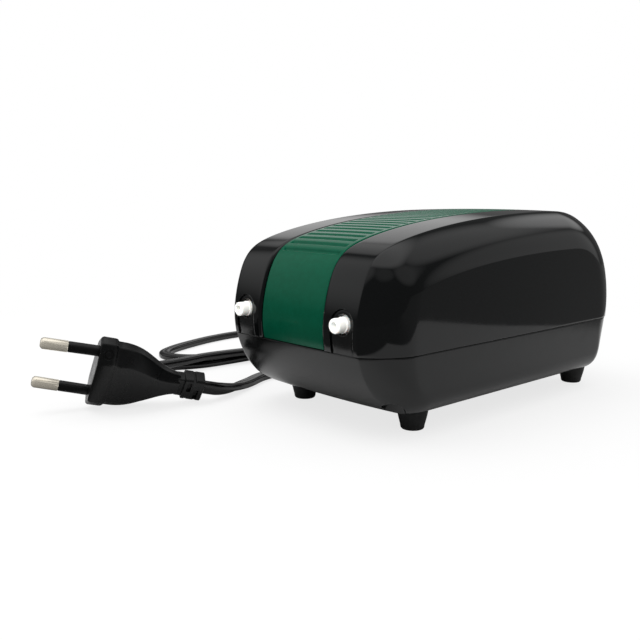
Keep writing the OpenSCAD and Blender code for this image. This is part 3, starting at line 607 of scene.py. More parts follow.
def foot_pad(side):
    """Round pad above a rear foot."""
    radius, edge, top = 5.6, 0.4, 12.2
    profile = [(0, BASE_Z), (5.2, BASE_Z), *arc(5.2, BASE_Z + edge, edge, -90, 0, 5),
               (radius, top), (0, top)]
    return lathe("pad", profile, 64, "Z", (side * FOOT_X, FOOT_Y, 0), closed=False)


def label_pad():
    """Flat rectangular block under the middle of the base."""
    half_x, half_y = 17, 8.5
    outline = [(half_x * i, half_y * j) for i, j in ((-1, -1), (1, -1), (1, 1), (-1, 1))]
    return prism("label_pad", outline, 7.0, 8.2, "Z")


SCREW_X = 31.5
SCREW_YS = (-63, 33)


def lower_shell():
    shell = shell_mesh("casing_lower_shell",
                       skin(False, lambda column: 0.28, edge_z=27.56, edge_radius=0.18),
                       skin(False, lambda column: 2.6, edge_z=27.5, edge_radius=0.0))
    for side in (-1, 1):
        for y in SCREW_YS:
            centre = (side * SCREW_X, y)
            post = boolean(cylinder(5.25, centre, 5, 24, "Z"), casing_solid(1.2), "INTERSECT")
            boolean(shell, post, "UNION")
            boolean(shell, cylinder(3.75, centre, -5, 21.5, "Z"))          # screw pocket
    boolean(shell, cylinder(12.5, (0, -22), 0, 11.15, "Z", count=96))      # filter recess
    boolean(shell, cylinder(4.0, (CABLE_X, CABLE_Z), 50, 70, "Y"))         # cable entry
    return join("casing_lower_shell", [shell, tongue(-1), tongue(1),
                                       foot_pad(-1), foot_pad(1), label_pad()])


upper = upper_shell()
lower = lower_shell()

# ------------------------------------------------------------------ ribbed trim panel

TRIM_HALF = 15.05
TRIM_EDGE = 0.42                    # rounding of the long edges
TRIM_BACK = 2.0                     # depth of the underside
TRIM_SINK = 0.8                     # depth of the ends below the casing surface
TRIM_STEP = 0.2                     # spacing of the stations along the panel
RIB_PITCH = 4.0
GROOVE_DEPTH = 0.7
GROOVE_HALF = 1.12
FIRST_GROOVE = 3.6                  # distance past the shoulder
GROOVE_FADE = (13.0, 13.7)          # grooves run out between these half widths


def trim_panel():
    """Strip over the roof from parting edge to parting edge, with grooves across it."""
    line = ("band", 0.0, TRIM_SINK)
    front = crossing(line, 0.0, 27.78, True)
    rear = crossing(line, 0.0, 27.78, False)
    places = np.linspace(front, rear, int((rear - front) * LOOP_LENGTH / TRIM_STEP))
    run = (places - SHOULDER_PLACE) * LOOP_LENGTH          # distance past the shoulder
    run_end = (rear - SHOULDER_PLACE) * LOOP_LENGTH
    sink = TRIM_SINK * (1 - smoothstep(-4.0, 10.0, run)
                        * smoothstep(-2.0, 12.0, run_end - 26.0 - run))
    ribs = (run - FIRST_GROOVE) / RIB_PITCH
    rib = np.floor(ribs)
    within = (ribs - rib) * RIB_PITCH                      # grooves are centred on 0
    from_groove = np.minimum(within, RIB_PITCH - within)
    shape = np.clip(1 - from_groove / GROOVE_HALF, 0, 1)
    shape = shape * shape * (3 - 2 * shape)
    last_rib = math.floor((run_end - 9.0 - FIRST_GROOVE) / RIB_PITCH)
    grooved = (run > FIRST_GROOVE - 1.15) & (run < run_end - 8.0)
    grooved &= (rib <= last_rib) | (within < 1.13)
    groove = np.where(grooved, shape * GROOVE_DEPTH, 0)

    half = np.array([0.0, 3, 6, 9, 11, 12.2, 12.9, *np.linspace(*GROOVE_FADE, 8), 14.1, 14.5]
                    + [TRIM_HALF - TRIM_EDGE + TRIM_EDGE * math.sin(math.radians(turn))
                       for turn in (0, 25, 50, 72, 90)])
    across = np.concatenate([-half[:0:-1], half])
    lines = []
    for x in across:
        past = max(0.0, abs(x) - (TRIM_HALF - TRIM_EDGE))
        edge = TRIM_EDGE - math.sqrt(max(TRIM_EDGE * TRIM_EDGE - past * past, 0.0))
        fade = 1 - float(smoothstep(*GROOVE_FADE, abs(x)))
        lines.append(band_point(x, places, sink + edge + groove * fade))
    lines += [band_point(x, places, TRIM_BACK) for x in across[::-1]]
    lines = np.array(lines)
    rows, per_row = lines.shape[:2]
    faces = grid(rows, per_row, close_rows=True)
    for j in (0, per_row - 1):                             # close both ends
        for i in range(rows // 2 - 1):
            quad = tuple(k * per_row + j for k in (i, i + 1, rows - 2 - i, rows - 1 - i))
            faces.append(quad if j == 0 else quad[::-1])
    return make("trim_ribbed", lines.reshape(-1, 3), faces, 50)


trim = trim_panel()

# ------------------------------------------------------------------ outlets, feet, grommet


def outlet(side):
    outer, bore, tip = 2.35, 1.2, -81.0
    lip, nose = 0.35, 0.75          # roundings of the bore's mouth and of the tip
    profile = [(bore, -62), (bore, tip + lip),
               *arc(bore + lip, tip + lip, lip, 180, 270, 4),
               *arc(outer - nose, tip + nose, nose, -90, 0, 9),
               (outer, -79.4), (outer - 0.03, -78.7), (outer, -77.9),
               *arc(outer + 0.15, -77.75, 0.15, 180, 90, 4),
               (2.5, -77.6), (2.5, -74.4), (3.6, -74.4), (3.6, -73.7),
               (2.3, -73.7), (2.3, -62.6), (2.05, -62)]
    name = "outlet_right" if side > 0 else "outlet_left"
    return lathe(name, profile, 64, "Y", (side * OUTLET_X, 0, OUTLET_Z))


def foot(side_x, side_y):
    profile = [(0, 0.12), (2.8, 0.12), (2.95, 0.0),
               *arc(3.05, 0.85, 0.85, -90, -8, 8),
               (4.02, 1.6), (4.4, 3.0), (4.82, 4.8), (5.06, 6.2),
               *arc(4.87, 6.75, 0.35, -20, 60, 4),
               (4.9, BASE_Z), (2, BASE_Z), (2, 12.2), (2.8, 12.25), (1.6, 14.1), (0, 14.15)]
    return lathe("foot", profile, 56, "Z", (side_x * FOOT_X, side_y * FOOT_Y, 0), closed=False)


def grommet():
    """Strain relief round the cable, with three ribs tapering to the rear."""
    profile = [(2.9, 53.2), (3.9, 53.2), (3.9, 58.2), (4.4, 58.9), (5.2, 59.3),
               *arc(4.8, 59.9, 0.4, -60, 30, 4)]
    for i in range(3):
        y, radius = 60.9 + i * 1.6, 4.75 - i * 0.28
        profile += [(radius, y), (radius, y + 0.55), (radius - 0.65, y + 0.7),
                    (radius - 0.7, y + 1.35), (radius - 0.22, y + 1.5)]
    profile += [*arc(3.5, 65.9, 0.35, 0, 90, 5), (2.9, 66.2)]
    return lathe("grommet_strain_relief", profile, 56, "Y", (CABLE_X, 0, CABLE_Z))


outlets = [outlet(-1), outlet(1)]
feet = join("feet_rubber", [foot(i, j) for i in (-1, 1) for j in (-1, 1)])
strain_relief = grommet()

# ------------------------------------------------------------------ cable

LAY = 1.66                          # height of the cable's middle where it lies on the table
# (x, y, z) stations from the plug, looping over the table to the inside of the casing
CABLE_RUN = [
    (-47.57, -83.44, 6.22), (-46.64, -81.08, 5.62), (-45.56, -78.37, 4.93), (-45.5, -74.4, 3.9),
    (-48.1, -67, 2.5), (-53, -56, LAY + 0.1), (-58.5, -44, LAY), (-60.5, -30, LAY),
    (-60.5, -13, LAY + 0.2), (-66, -1, 2.8), (-75, 1, 3.8), (-83, -8, 4.8),
    (-88.5, -22, 5.1), (-92, -37, 5.1), (-93, -50, 5.1), (-91.5, -62, 5.1),
    (-91.5, -73, 5.1), (-94.5, -83, 4.8), (-101, -88.5, 3.8), (-107, -85, 2.5),
    (-106.5, -74, LAY + 0.1), (-99.5, -62, LAY), (-94.5, -50, LAY), (-93.5, -37, LAY),
    (-93.5, -24, LAY), (-93, -8, LAY), (-93.5, 8, LAY), (-98.5, 19, LAY),
    (-107, 19, LAY), (-111, 7, LAY), (-107.5, -8, LAY), (-103.4, -21, LAY),
    (-103.6, -35, LAY), (-108.5, -46, LAY), (-117, -51.5, LAY), (-125.5, -50, LAY),
    (-132.5, -41, LAY), (-138.5, -27, LAY), (-143.5, -10, LAY), (-145, 9, LAY),
    (-140, 30, LAY), (-126, 49, LAY), (-104, 61, LAY), (-80, 69, LAY + 0.5),
    (-58, 75.5, 5), (-40.5, 79, 12), (-30, 78, 15.6), (-25.2, 72.5, 16),
    (CABLE_X, 66, CABLE_Z), (CABLE_X, 58, CABLE_Z), (CABLE_X, 47.5, CABLE_Z),
    (-23.4, 41, 16), (-22.2, 35, 16), (-22, 28, 16), (-22, 11.5, 16)]
CABLE_TWIST = 59.3                  # roll at the plug, degrees
# the two bare cores share their (y, z) stations and differ in x
CORE_YZ = ((12.5, 16), (10, 15.2), (7.6, 14), (5.4, 14), (3.4, 14))
CORE_XS = ((-23.2, -24.4, -26, -26, -26), (-20.9, -20.4, -20, -20, -20))
CORE_RADIUS = 0.9


def catmull(stations, steps):
    """Catmull-Rom curve through the stations."""
    stations = np.array(stations, float)
    count = len(stations)
    points = []
    for i in range(count - 1):
        p0, p1, p2, p3 = (stations[max(0, i - 1)], stations[i], stations[i + 1],
                          stations[min(count - 1, i + 2)])
        for k in range(steps):
            t = k / steps
            points.append(0.5 * ((2 * p1) + (p2 - p0) * t
                                 + (2 * p0 - 5 * p1 + 4 * p2 - p3) * t * t
                                 + (3 * p1 - p0 - 3 * p2 + p3) * t ** 3))
    points.append(stations[-1])
    return np.array(points)


def resample(points, step):
    """Evenly spaced points along a polyline and their distances from its start."""
    run = np.concatenate([[0], np.cumsum(np.linalg.norm(np.diff(points, axis=0), axis=1))])
    distances = np.linspace(0, run[-1], max(2, int(run[-1] / step)))
    return np.stack([np.interp(distances, run, points[:, i]) for i in range(3)], 1), distances


def cable_section():
    """Flat jacket over two cores, with a shallow valley between them."""
    turns = angles(40)
    reach = (np.abs(np.cos(turns)) ** 3 + np.abs(np.sin(turns)) ** 3) ** (-1 / 3)
    x, y = 2.6 * reach * np.cos(turns), 1.6 * reach * np.sin(turns)
    y *= 1 - 0.10 * np.exp(-(x / 0.75) ** 2)
    return x, y


def sweep(name, path, section, roll):
    """Section carried along a path, rolled about it by the given degrees."""
    way = np.zeros_like(path)
    way[1:-1] = path[2:] - path[:-2]
    way[0], way[-1] = path[1] - path[0], path[-1] - path[-2]
    way /= np.linalg.norm(way, axis=1)[:, None]
    level = np.cross(way, np.array([0, 0, 1.0]))
    level /= np.linalg.norm(level, axis=1)[:, None]
    above = np.cross(level, way)
    turn = np.radians(roll)[:, None]
    across = np.cos(turn) * level + np.sin(turn) * above
    up = np.cos(turn) * above - np.sin(turn) * level
    section_x, section_y = section
    points = (path[:, None, :] + across[:, None, :] * section_x[None, :, None]
              + up[:, None, :] * section_y[None, :, None])
    rows, per_row = len(path), len(section_x)
    faces = grid(rows, per_row, close_each=True) + end_caps(rows, per_row)
    return make(name, points.reshape(-1, 3), faces, 50)


def mains_cable():
    path, distance = resample(catmull(CABLE_RUN, 24), 1.1)
    roll = CABLE_TWIST * (1 - smoothstep(3.0, 30.0, distance))
    pieces = [sweep("cable_jacket", path, cable_section(), roll)]
    turns = angles(16)
    circle = (CORE_RADIUS * np.cos(turns), CORE_RADIUS * np.sin(turns))
    for core_x in CORE_XS:
        stations = [(x, y, z) for x, (y, z) in zip(core_x, CORE_YZ)]
        path, _ = resample(catmull(stations, 8), 0.6)
        pieces.append(sweep("core", path, circle, np.zeros(len(path))))
    return join("cable_jacket", pieces, sharp=50)


cable = mains_cable()

# ------------------------------------------------------------------ plug
# In the plug's own frame +X points along the pins, the broad faces look along Y and the
# width runs along Z. The origin is the middle of the face the pins stand on.

PLUG = (Matrix.Translation((-60.65, -116.35, 14.6))
        @ Matrix.Rotation(math.radians(-111.65), 4, "Z")
        @ Matrix.Rotation(math.radians(-13.3), 4, "Y")
        @ Matrix.Rotation(math.radians(-30.7), 4, "X"))
PLUG_HALF_WIDTH = 14.5
PLUG_HALF_THICKNESS = 6.5
# (x, width factor, thickness factor, part of the width that is flat)
PLUG_STATIONS = [
    (0.0, 0.925, 0.90, 0.62), (-0.12, 0.955, 0.945, 0.62), (-0.45, 0.985, 0.975, 0.62),
    (-0.9, 1, 1, 0.62), (-2.5, 1, 1, 0.62), (-4.6, 1, 1, 0.62),
    (-5.3, 0.995, 0.99, 0.62), (-5.75, 0.975, 0.965, 0.62), (-6.0, 0.945, 0.935, 0.62),
    (-6.35, 0.935, 0.925, 0.62), (-7.5, 0.934, 0.93, 0.62), (-9, 0.93, 0.93, 0.62),
    (-10.5, 0.918, 0.925, 0.62), (-12, 0.895, 0.92, 0.62), (-13.5, 0.862, 0.912, 0.61),
    (-15, 0.818, 0.90, 0.60), (-16.5, 0.762, 0.885, 0.59), (-18, 0.698, 0.862, 0.58),
    (-19.5, 0.628, 0.832, 0.57), (-21, 0.558, 0.795, 0.56), (-22.5, 0.49, 0.75, 0.55),
    (-24, 0.432, 0.70, 0.54), (-25.5, 0.385, 0.645, 0.53), (-27, 0.35, 0.59, 0.52),
    (-28.5, 0.325, 0.545, 0.51), (-29.6, 0.312, 0.52, 0.5), (-30.0, 0.295, 0.49, 0.5)]


def placed(points, matrix=PLUG):
    matrix = np.array(matrix)
    return np.asarray(points, float) @ matrix[:3, :3].T + matrix[:3, 3]


def plug_section(half_width, half_thickness, flat, rounding=0.55):
    """Eight-sided (z, y) section with softened corners."""
    flat_z, shoulder_y = flat * half_width, 0.30 * half_thickness
    corners = np.array([
        (half_width, shoulder_y), (flat_z, half_thickness),
        (-flat_z, half_thickness), (-half_width, shoulder_y),
        (-half_width, -shoulder_y), (-flat_z, -half_thickness),
        (flat_z, -half_thickness), (half_width, -shoulder_y)])
    points = []
    for i, corner in enumerate(corners):
        before, after = corners[i - 1], corners[(i + 1) % len(corners)]
        to_before, to_after = np.linalg.norm(before - corner), np.linalg.norm(after - corner)
        cut = min(rounding, 0.45 * to_before, 0.45 * to_after)
        start = corner + (before - corner) / to_before * cut
        end = corner + (after - corner) / to_after * cut
        for t in np.linspace(0, 1, 8):
            points.append((1 - t) ** 2 * start + 2 * (1 - t) * t * corner + t * t * end)
    return np.array(points)


def plug_body():
    rings = []
    for x, width, thickness, flat in PLUG_STATIONS:
        section = plug_section(PLUG_HALF_WIDTH * width, PLUG_HALF_THICKNESS * thickness, flat)
        rings.append(np.stack([np.full(len(section), x), section[:, 1], section[:, 0]], 1))
    rings = np.array(rings)
    rows, per_row = rings.shape[:2]
    points = rings.reshape(-1, 3)
    faces = grid(rows, per_row, close_each=True)
    # each end is closed with shrinking rings
    for ring, outer, flip in ((rings[0], 0, True), (rings[-1], (rows - 1) * per_row, False)):
        for shrink in (0.35, 0.7, 0.97):
            smaller = ring.copy()
            smaller[:, 1:] *= (1 - shrink)
            base = len(points)
            points = np.concatenate([points, smaller])
            for j in range(per_row):
                k = (j + 1) % per_row
                quad = (outer + j, outer + k, base + k, base + j)
                faces.append(quad[::-1] if flip else quad)
            outer = base
        cap = tuple(range(outer, outer + per_row))
        faces.append(cap[::-1] if flip else cap)
    return make("plug", placed(points), faces, 38)


def rounded_bar(x0, x1, half_y, half_z, radius):
    """Bar along X with rounded long edges and slightly drawn-in ends."""
    outline = []
    for i, j, start in ((1, 1, 0), (-1, 1, 90), (-1, -1, 180), (1, -1, 270)):
        outline += arc(i * (half_y - radius), j * (half_z - radius), radius, start, start + 90, 7)
    end_scale = 1 - 0.35 / max(2 * half_y, 2 * half_z) * 2
    stations = [(x0, end_scale), (x0 + 0.25, 1.0), (x1 - 0.25, 1.0), (x1, end_scale)]
    points = [(x, y * scale, z * scale) for x, scale in stations for y, z in outline]
    rows, per_row = len(stations), len(outline)
    faces = grid(rows, per_row, close_each=True) + end_caps(rows, per_row)
    return make("bar", placed(points), faces, 38)


def box(x0, x1, y0, y1, z0, z1):
    points = [(x, y, z) for x in (x0, x1) for y in (y0, y1) for z in (z0, z1)]
    faces = [(0, 1, 3, 2), (4, 6, 7, 5), (0, 4, 5, 1), (2, 3, 7, 6), (0, 2, 6, 4), (1, 5, 7, 3)]
    return make("box", placed(points), faces, 38)


def plug_relief():
    """Hollow bar behind the body, with recesses and notches cut into it."""
    relief = rounded_bar(-39, -31.6, 3.3, 4.6, 1.1)
    boolean(relief, rounded_bar(-31.9, -29, 2.5, 3.9, 0.8), "UNION")
    # rectangular recesses in both broad faces
    for x, z0, z1 in ((-33.6, -0.6, 3.5), (-36.6, -3.5, 0.6)):
        for y0, y1 in ((2.3, 4), (-4, -2.3)):
            boolean(relief, box(x - 0.75, x + 0.75, y0, y1, z0, z1))
    # notches in the narrow sides
    for x, z0, z1 in ((-35.2, 3.8, 6), (-33.4, -6, -3.8), (-36.8, -6, -3.8)):
        boolean(relief, box(x - 0.5, x + 0.5, -5, 5, z0, z1))
    boolean(relief, box(-50, -30.5, -1.9, 1.9, -2.9, 2.9))
    return relief


def ring_cutter(face):
    """Ring-shaped groove for the slanted end of the flange, on the +Y or -Y face."""
    profile = [(0.95, -0.35), (1.75, -0.35), (1.75, 2.0), (0.95, 2.0)]
    axis = Vector((0, face * 0.787, 0.617)).normalized()
    first = axis.orthogonal().normalized()
    basis = np.array([first, axis.cross(first), axis])
    points = turned_points(profile, 40, "Z") @ basis + np.array((-3.0, face * 4.15, 11.7))
    faces = grid(len(profile), 40, close_rows=True, close_each=True)
    return make("turned", placed(points), faces, 38)


def moulded_plug():
    body = plug_body()
    relief = plug_relief()
    for face in (1, -1):
        boolean(body, ring_cutter(face))
    return join("plug_moulded", [body, relief], sharp=38)


PIN_OFFSET = 9.3                    # pin axes from the plug's middle
PIN_LEAN = 1.2                      # lean of each pin from the plug's X axis, degrees
PIN_PROFILE = [(0.0, -8), (1.5, -8), (1.5, 10.05), (1.93, 10.1), (2.0, 10.25), (2.0, 17.7),
               *arc(0.7, 17.7, 1.3, 15, 90, 6), (0.0, 19.0)]
SLEEVE_PROFILE = [(1.5, -2), (1.9, -2), (1.9, 9.6), (1.86, 9.85), (1.7, 10.0), (1.5, 10.0)]


def pin_pair(name, piece_name, profile, closed):
    """The same turned piece on both pin axes."""
    pieces = []
    for side in (-1, 1):
        axes = (PLUG @ Matrix.Translation((0, 0, side * PIN_OFFSET))
                @ Matrix.Rotation(math.radians(side * PIN_LEAN), 4, "Y"))
        points = placed(turned_points(profile, 48, "X"), axes)
        faces = grid(len(profile), 48, close_rows=closed, close_each=True)
        pieces.append(make(piece_name, points, faces, 40))
    return join(name, pieces, sharp=40)


plug = moulded_plug()
pins = pin_pair("plug_pins_plated", "pin", PIN_PROFILE, closed=False)
sleeves = pin_pair("plug_pin_sleeves", "sleeve", SLEEVE_PROFILE, closed=True)

# ------------------------------------------------------------------ diaphragms

DIAPHRAGM_X, DIAPHRAGM_Y, DIAPHRAGM_Z = 15, -22.0, 34.0
SECTORS = 8
ROLL_OUTER, ROLL_INNER = 0.01108, 0.0076        # where the roll meets rim and hub, metres
# (radius, x) profiles of the right diaphragm
HUB_PROFILE = [(1.6, 14.05), (7.4, 14.05), (7.62, 14.4), (7.62, 15.6), (7.4, 15.95), (1.6, 15.95)]
RIM_PROFILE = [(11.05, 15.05), (12.0, 15.0), (12.1, 13.3), (12.4, 13.0), (14.6, 13.0),
               (15.0, 13.4), (15.0, 16.1), (14.6, 16.5), (11.4, 16.5), (11.05, 16.2)]
ROLL_PROFILE = [(7.55, 15.0), (7.75, 14.2), (8.3, 13.35), (9.2, 12.75), (10.1, 12.9),
                (10.8, 13.6), (11.1, 14.6), (11.15, 15.4), (11.15, 16.3), (10.75, 16.0),
                (10.2, 15.0), (9.6, 14.3), (8.9, 14.35), (8.4, 15.0), (8.0, 15.8), (7.55, 15.9)]


def roll_sector(name, index, centre):
    """One sector of the rolled ring, closed at both ends."""
    middle, half = index * 360 / SECTORS, 180 / SECTORS
    turns = np.radians(np.linspace(middle - half, middle + half, 9))
    points = np.array([[(x, radius * math.cos(turn), radius * math.sin(turn))
                        for radius, x in ROLL_PROFILE] for turn in turns]) + np.array(centre)
    rows, per_row = len(turns), len(ROLL_PROFILE)
    faces = grid(rows, per_row, close_each=True) + end_caps(rows, per_row)
    return make(name, points, faces, 60)


def diaphragm(side):
    """Rim held by the casing, hub on the arm and the sectors of the roll between them."""
    side_name = "right" if side > 0 else "left"
    name = "diaphragm_" + side_name
    arm = "arm_" + side_name
    axis = (0, DIAPHRAGM_Y, DIAPHRAGM_Z)
    hub = lathe(name + "_hub", HUB_PROFILE, 64, "X", axis)
    rim = lathe(name + "_rim", RIM_PROFILE, 64, "X", axis)
    rolls = [roll_sector("%s_roll_%d" % (name, i + 1), i, axis) for i in range(SECTORS)]
    pieces = [hub, rim] + rolls
    if side < 0:
        for piece in pieces:
            piece.data.transform(Matrix.Diagonal((-1, 1, 1, 1)))
            piece.data.flip_normals()
    centre = np.array([side * DIAPHRAGM_X, DIAPHRAGM_Y, DIAPHRAGM_Z - FRAME_ZERO]) * MM
    for i, roll in enumerate(rolls):
        turn = math.radians(i * 360 / SECTORS)
        way = np.array([0, math.cos(turn), math.sin(turn)])
        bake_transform(roll, "casing", arm,
                 start=tuple(centre + way * ROLL_OUTER), end=tuple(centre + way * ROLL_INNER))
    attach(hub, arm)
    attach(rim, "casing")
    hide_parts(name)
    return pieces


diaphragms = diaphragm(-1) + diaphragm(1)

# ------------------------------------------------------------------ node helpers


class Nodes:
    """Small builder for a shader node tree."""

    def __init__(self, tree):
        self.tree = tree

    def node(self, kind, **properties):
        node = self.tree.nodes.new("ShaderNode" + kind)
        for key, value in properties.items():
            setattr(node, key, value)
        return node

    def link(self, output, socket):
        self.tree.links.new(output, socket)

    def feed(self, value, socket):
        """Links a socket or sets a plain value."""
        if isinstance(value, bpy.types.NodeSocket):
            self.link(value, socket)
        else:
            socket.default_value = value

    def math(self, operation, first, second):
        node = self.node("Math", operation=operation)
        self.feed(first, node.inputs[0])
        self.feed(second, node.inputs[1])
        return node.outputs[0]

    def ramp(self, value, start, end, top=1.0):
        """Smooth rise from 0 at start to top at end."""
        node = self.node("MapRange", interpolation_type="SMOOTHSTEP")
        node.inputs["From Min"].default_value = start
        node.inputs["From Max"].default_value = end
        node.inputs["To Max"].default_value = top
        self.link(value, node.inputs["Value"])
        return node.outputs["Result"]

    def mix_shader(self, factor, first, second):
        node = self.node("MixShader")
        for output, socket in zip((factor, first, second), node.inputs):
            self.link(output, socket)
        return node.outputs[0]


MATERIALS = {}


class Material(Nodes):
    """Procedural material on a Principled shader, kept in MATERIALS under its name."""

    def __init__(self, name):
        material = bpy.data.materials.new(name)
        material.use_nodes = True
        super().__init__(material.node_tree)
        MATERIALS[name] = material
        self.bsdf = next(n for n in self.tree.nodes if n.type == "BSDF_PRINCIPLED")
        self.position = self.node("TexCoord").outputs["Object"]

    def set(self, **values):
        for key, value in values.items():
            self.bsdf.inputs[key.replace("_", " ")].default_value = value

    def noise(self, scale, detail=3.0, roughness=0.55, stretch=(1, 1, 1)):
        noise = self.node("TexNoise")
        noise.inputs["Scale"].default_value = scale
        noise.inputs["Detail"].default_value = detail
        noise.inputs["Roughness"].default_value = roughness
        mapping = self.node("Mapping")
        mapping.inputs["Scale"].default_value = stretch
        self.link(self.position, mapping.inputs["Vector"])
        self.link(mapping.outputs["Vector"], noise.inputs["Vector"])
        return noise.outputs["Fac"]

    def voronoi(self, scale):
        node = self.node("TexVoronoi")
        node.inputs["Scale"].default_value = scale
        self.link(self.position, node.inputs["Vector"])
        return node.outputs["Distance"]

    def wave(self, scale, direction, distortion=0.0):
        node = self.node("TexWave", bands_direction=direction, wave_profile="SIN")
        node.inputs["Scale"].default_value = scale
        node.inputs["Distortion"].default_value = distortion
        self.link(self.position, node.inputs["Vector"])
        return node.outputs["Fac"]

    def remap(self, value, to_min, to_max, from_min=0.0, from_max=1.0):
        node = self.node("MapRange")
        node.inputs["From Min"].default_value = from_min
        node.inputs["From Max"].default_value = from_max
        node.inputs["To Min"].default_value = to_min
        node.inputs["To Max"].default_value = to_max
        self.link(value, node.inputs["Value"])
        return node.outputs["Result"]

    def mix(self, factor, first, second):
        """Colour mix; first and second are sockets or RGB tuples."""
        node = self.node("Mix", data_type="RGBA")
        self.feed(factor, node.inputs[0])
        for value, socket in ((first, node.inputs[6]), (second, node.inputs[7])):
            self.feed(value + (1.0,) if isinstance(value, tuple) else value, socket)
        return node.outputs[2]

    def shades(self, factor, base, low, high):
        """The base colour varied between two multiples of itself."""
        self.colour(self.mix(factor, tuple(c * low for c in base),
                             tuple(min(1, c * high) for c in base)))

    def colour(self, value):
        self.link(value, self.bsdf.inputs["Base Color"])

    def roughness(self, value):
        self.feed(value, self.bsdf.inputs["Roughness"])

    def bump(self, height, distance, strength=1.0, bevel=0.0):
        """Bump in metres, optionally over edges rounded in shading by the bevel radius."""
        node = self.node("Bump")
        node.inputs["Strength"].default_value = strength
        node.inputs["Distance"].default_value = distance
        self.link(height, node.inputs["Height"])
        if bevel:
            rounded = self.node("Bevel", samples=6)
            rounded.inputs["Radius"].default_value = bevel
            self.link(rounded.outputs["Normal"], node.inputs["Normal"])
        self.link(node.outputs["Normal"], self.bsdf.inputs["Normal"])


# ------------------------------------------------------------------ materials
# variation is the relative spread of the colour, grain the bump distance in metres


def gloss_black(name, base, roughness, spread, grain, bevel):
    mat = Material(name)
    fine = mat.noise(scale=900, detail=4)
    broad = mat.noise(scale=60, detail=3)
    mat.shades(fine, base, low=0.75, high=1.3)
    mat.roughness(mat.remap(mat.noise(scale=220, detail=4), roughness - spread,
                            roughness + spread, from_min=0.3, from_max=0.7))
    mat.set(IOR=1.5)
    mat.bump(mat.mix(0.5, broad, fine), grain, strength=0.6, bevel=bevel)


def plastic(name, base, roughness, variation=0.12, grain=1.2e-5, scale=1400,
            bevel=0.0, subsurface=0.0, ior=1.5):
    mat = Material(name)
    speckle = mat.noise(scale, detail=4)
    mat.shades(speckle, base, low=1 - variation, high=1 + variation)
    mat.roughness(mat.remap(mat.noise(scale * 0.2, detail=3), max(0.02, roughness - 0.06),
                            roughness + 0.06, from_min=0.3, from_max=0.7))
    mat.set(IOR=ior)
    if subsurface:
        mat.set(Subsurface_Weight=subsurface, Subsurface_Scale=1.0,
                Subsurface_Radius=(0.0012, 0.001, 0.0009))
    mat.bump(speckle, grain, strength=0.7, bevel=bevel)


def metal(name, base, roughness, scale=2500, stretch=(1, 1, 1), metallic=1.0):
    mat = Material(name)
    speckle = mat.noise(scale, detail=4, roughness=0.6, stretch=stretch)
    mat.shades(speckle, base, low=1 - 0.12, high=1 + 0.12)
    mat.roughness(mat.remap(speckle, roughness * 0.7, roughness * 1.35,
                            from_min=0.3, from_max=0.7))
    mat.set(Metallic=metallic)
    mat.bump(speckle, 6e-6, strength=0.5)


def laminated_steel():
    """Stack of thin laminations, varnished."""
    mat = Material("core_steel")
    layers = mat.wave(scale=310, direction="Z")
    speckle = mat.noise(scale=1200, detail=4)
    mat.colour(mat.mix(mat.mix(0.35, layers, speckle), (0.07, 0.072, 0.078), (0.30, 0.31, 0.32)))
    mat.set(Metallic=0.85)
    mat.roughness(mat.remap(speckle, to_min=0.3, to_max=0.55))
    mat.bump(layers, 9e-5, strength=0.9)


def copper_winding():
    """Turns of enamelled wire round the bobbin."""
    mat = Material("winding_copper")
    turns = mat.wave(scale=620, direction="Y", distortion=0.15)
    speckle = mat.noise(scale=700, detail=3)
    mat.colour(mat.mix(mat.mix(0.3, turns, speckle), (0.20, 0.055, 0.018), (0.72, 0.30, 0.12)))
    mat.set(Metallic=0.9)
    mat.roughness(mat.remap(speckle, to_min=0.2, to_max=0.36))
    mat.bump(turns, 1.4e-4, strength=0.9)


def felt():
    """Pressed fibre."""
    mat = Material("felt_white")
    fibre = mat.noise(scale=2600, detail=6, roughness=0.7, stretch=(1, 1, 0.2))
    mat.colour(mat.mix(fibre, (0.56, 0.55, 0.5), (0.82, 0.81, 0.76)))
    mat.roughness(0.95)
    mat.bump(fibre, 1.6e-4)


def green_trim():
    """Deep green with a fine light fleck under the gloss."""
    mat = Material("trim_green")
    fleck = mat.remap(mat.voronoi(scale=1500), to_min=1.0, to_max=0.0,
                      from_min=0.02, from_max=0.30)
    cloud = mat.noise(scale=420, detail=5, roughness=0.6)
    base = mat.mix(cloud, (0.0008, 0.074, 0.036), (0.0016, 0.112, 0.058))
    mat.colour(mat.mix(mat.remap(fleck, to_min=0.0, to_max=0.30), base, (0.01, 0.16, 0.10)))
    mat.roughness(mat.remap(cloud, to_min=0.12, to_max=0.2))
    mat.set(IOR=1.38, Specular_Tint=(0.3, 1.0, 0.7, 1.0))
    mat.bump(cloud, 6e-6, strength=0.6)


gloss_black("casing_upper", (0.0022, 0.0028, 0.0030), roughness=0.055, spread=0.015,
            grain=5e-6, bevel=0.00025)
gloss_black("casing_lower", (0.0036, 0.0042, 0.0042), roughness=0.16, spread=0.04,
            grain=8e-6, bevel=0.0002)
plastic("foot_rubber", (0.0042, 0.0045, 0.0045), roughness=0.62, variation=0.2,
        grain=3e-5, scale=900)
plastic("nozzle_white", (0.86, 0.86, 0.83), roughness=0.32, variation=0.03,
        grain=6e-6, scale=1500, subsurface=0.25)
plastic("hose_silicone", (0.6, 0.62, 0.6), roughness=0.4, variation=0.06, grain=1e-5, scale=500)
plastic("bobbin_nylon", (0.72, 0.69, 0.58), roughness=0.42, variation=0.07,
        grain=1.5e-5, scale=900)
plastic("arm_plastic", (0.78, 0.76, 0.7), roughness=0.38, variation=0.05, scale=900)
plastic("diaphragm_rubber", (0.02, 0.02, 0.02), roughness=0.5, variation=0.2,
        grain=1.5e-5, scale=1200)
plastic("flap_rubber", (0.035, 0.035, 0.035), roughness=0.55, variation=0.2,
        grain=1.5e-5, scale=1500)
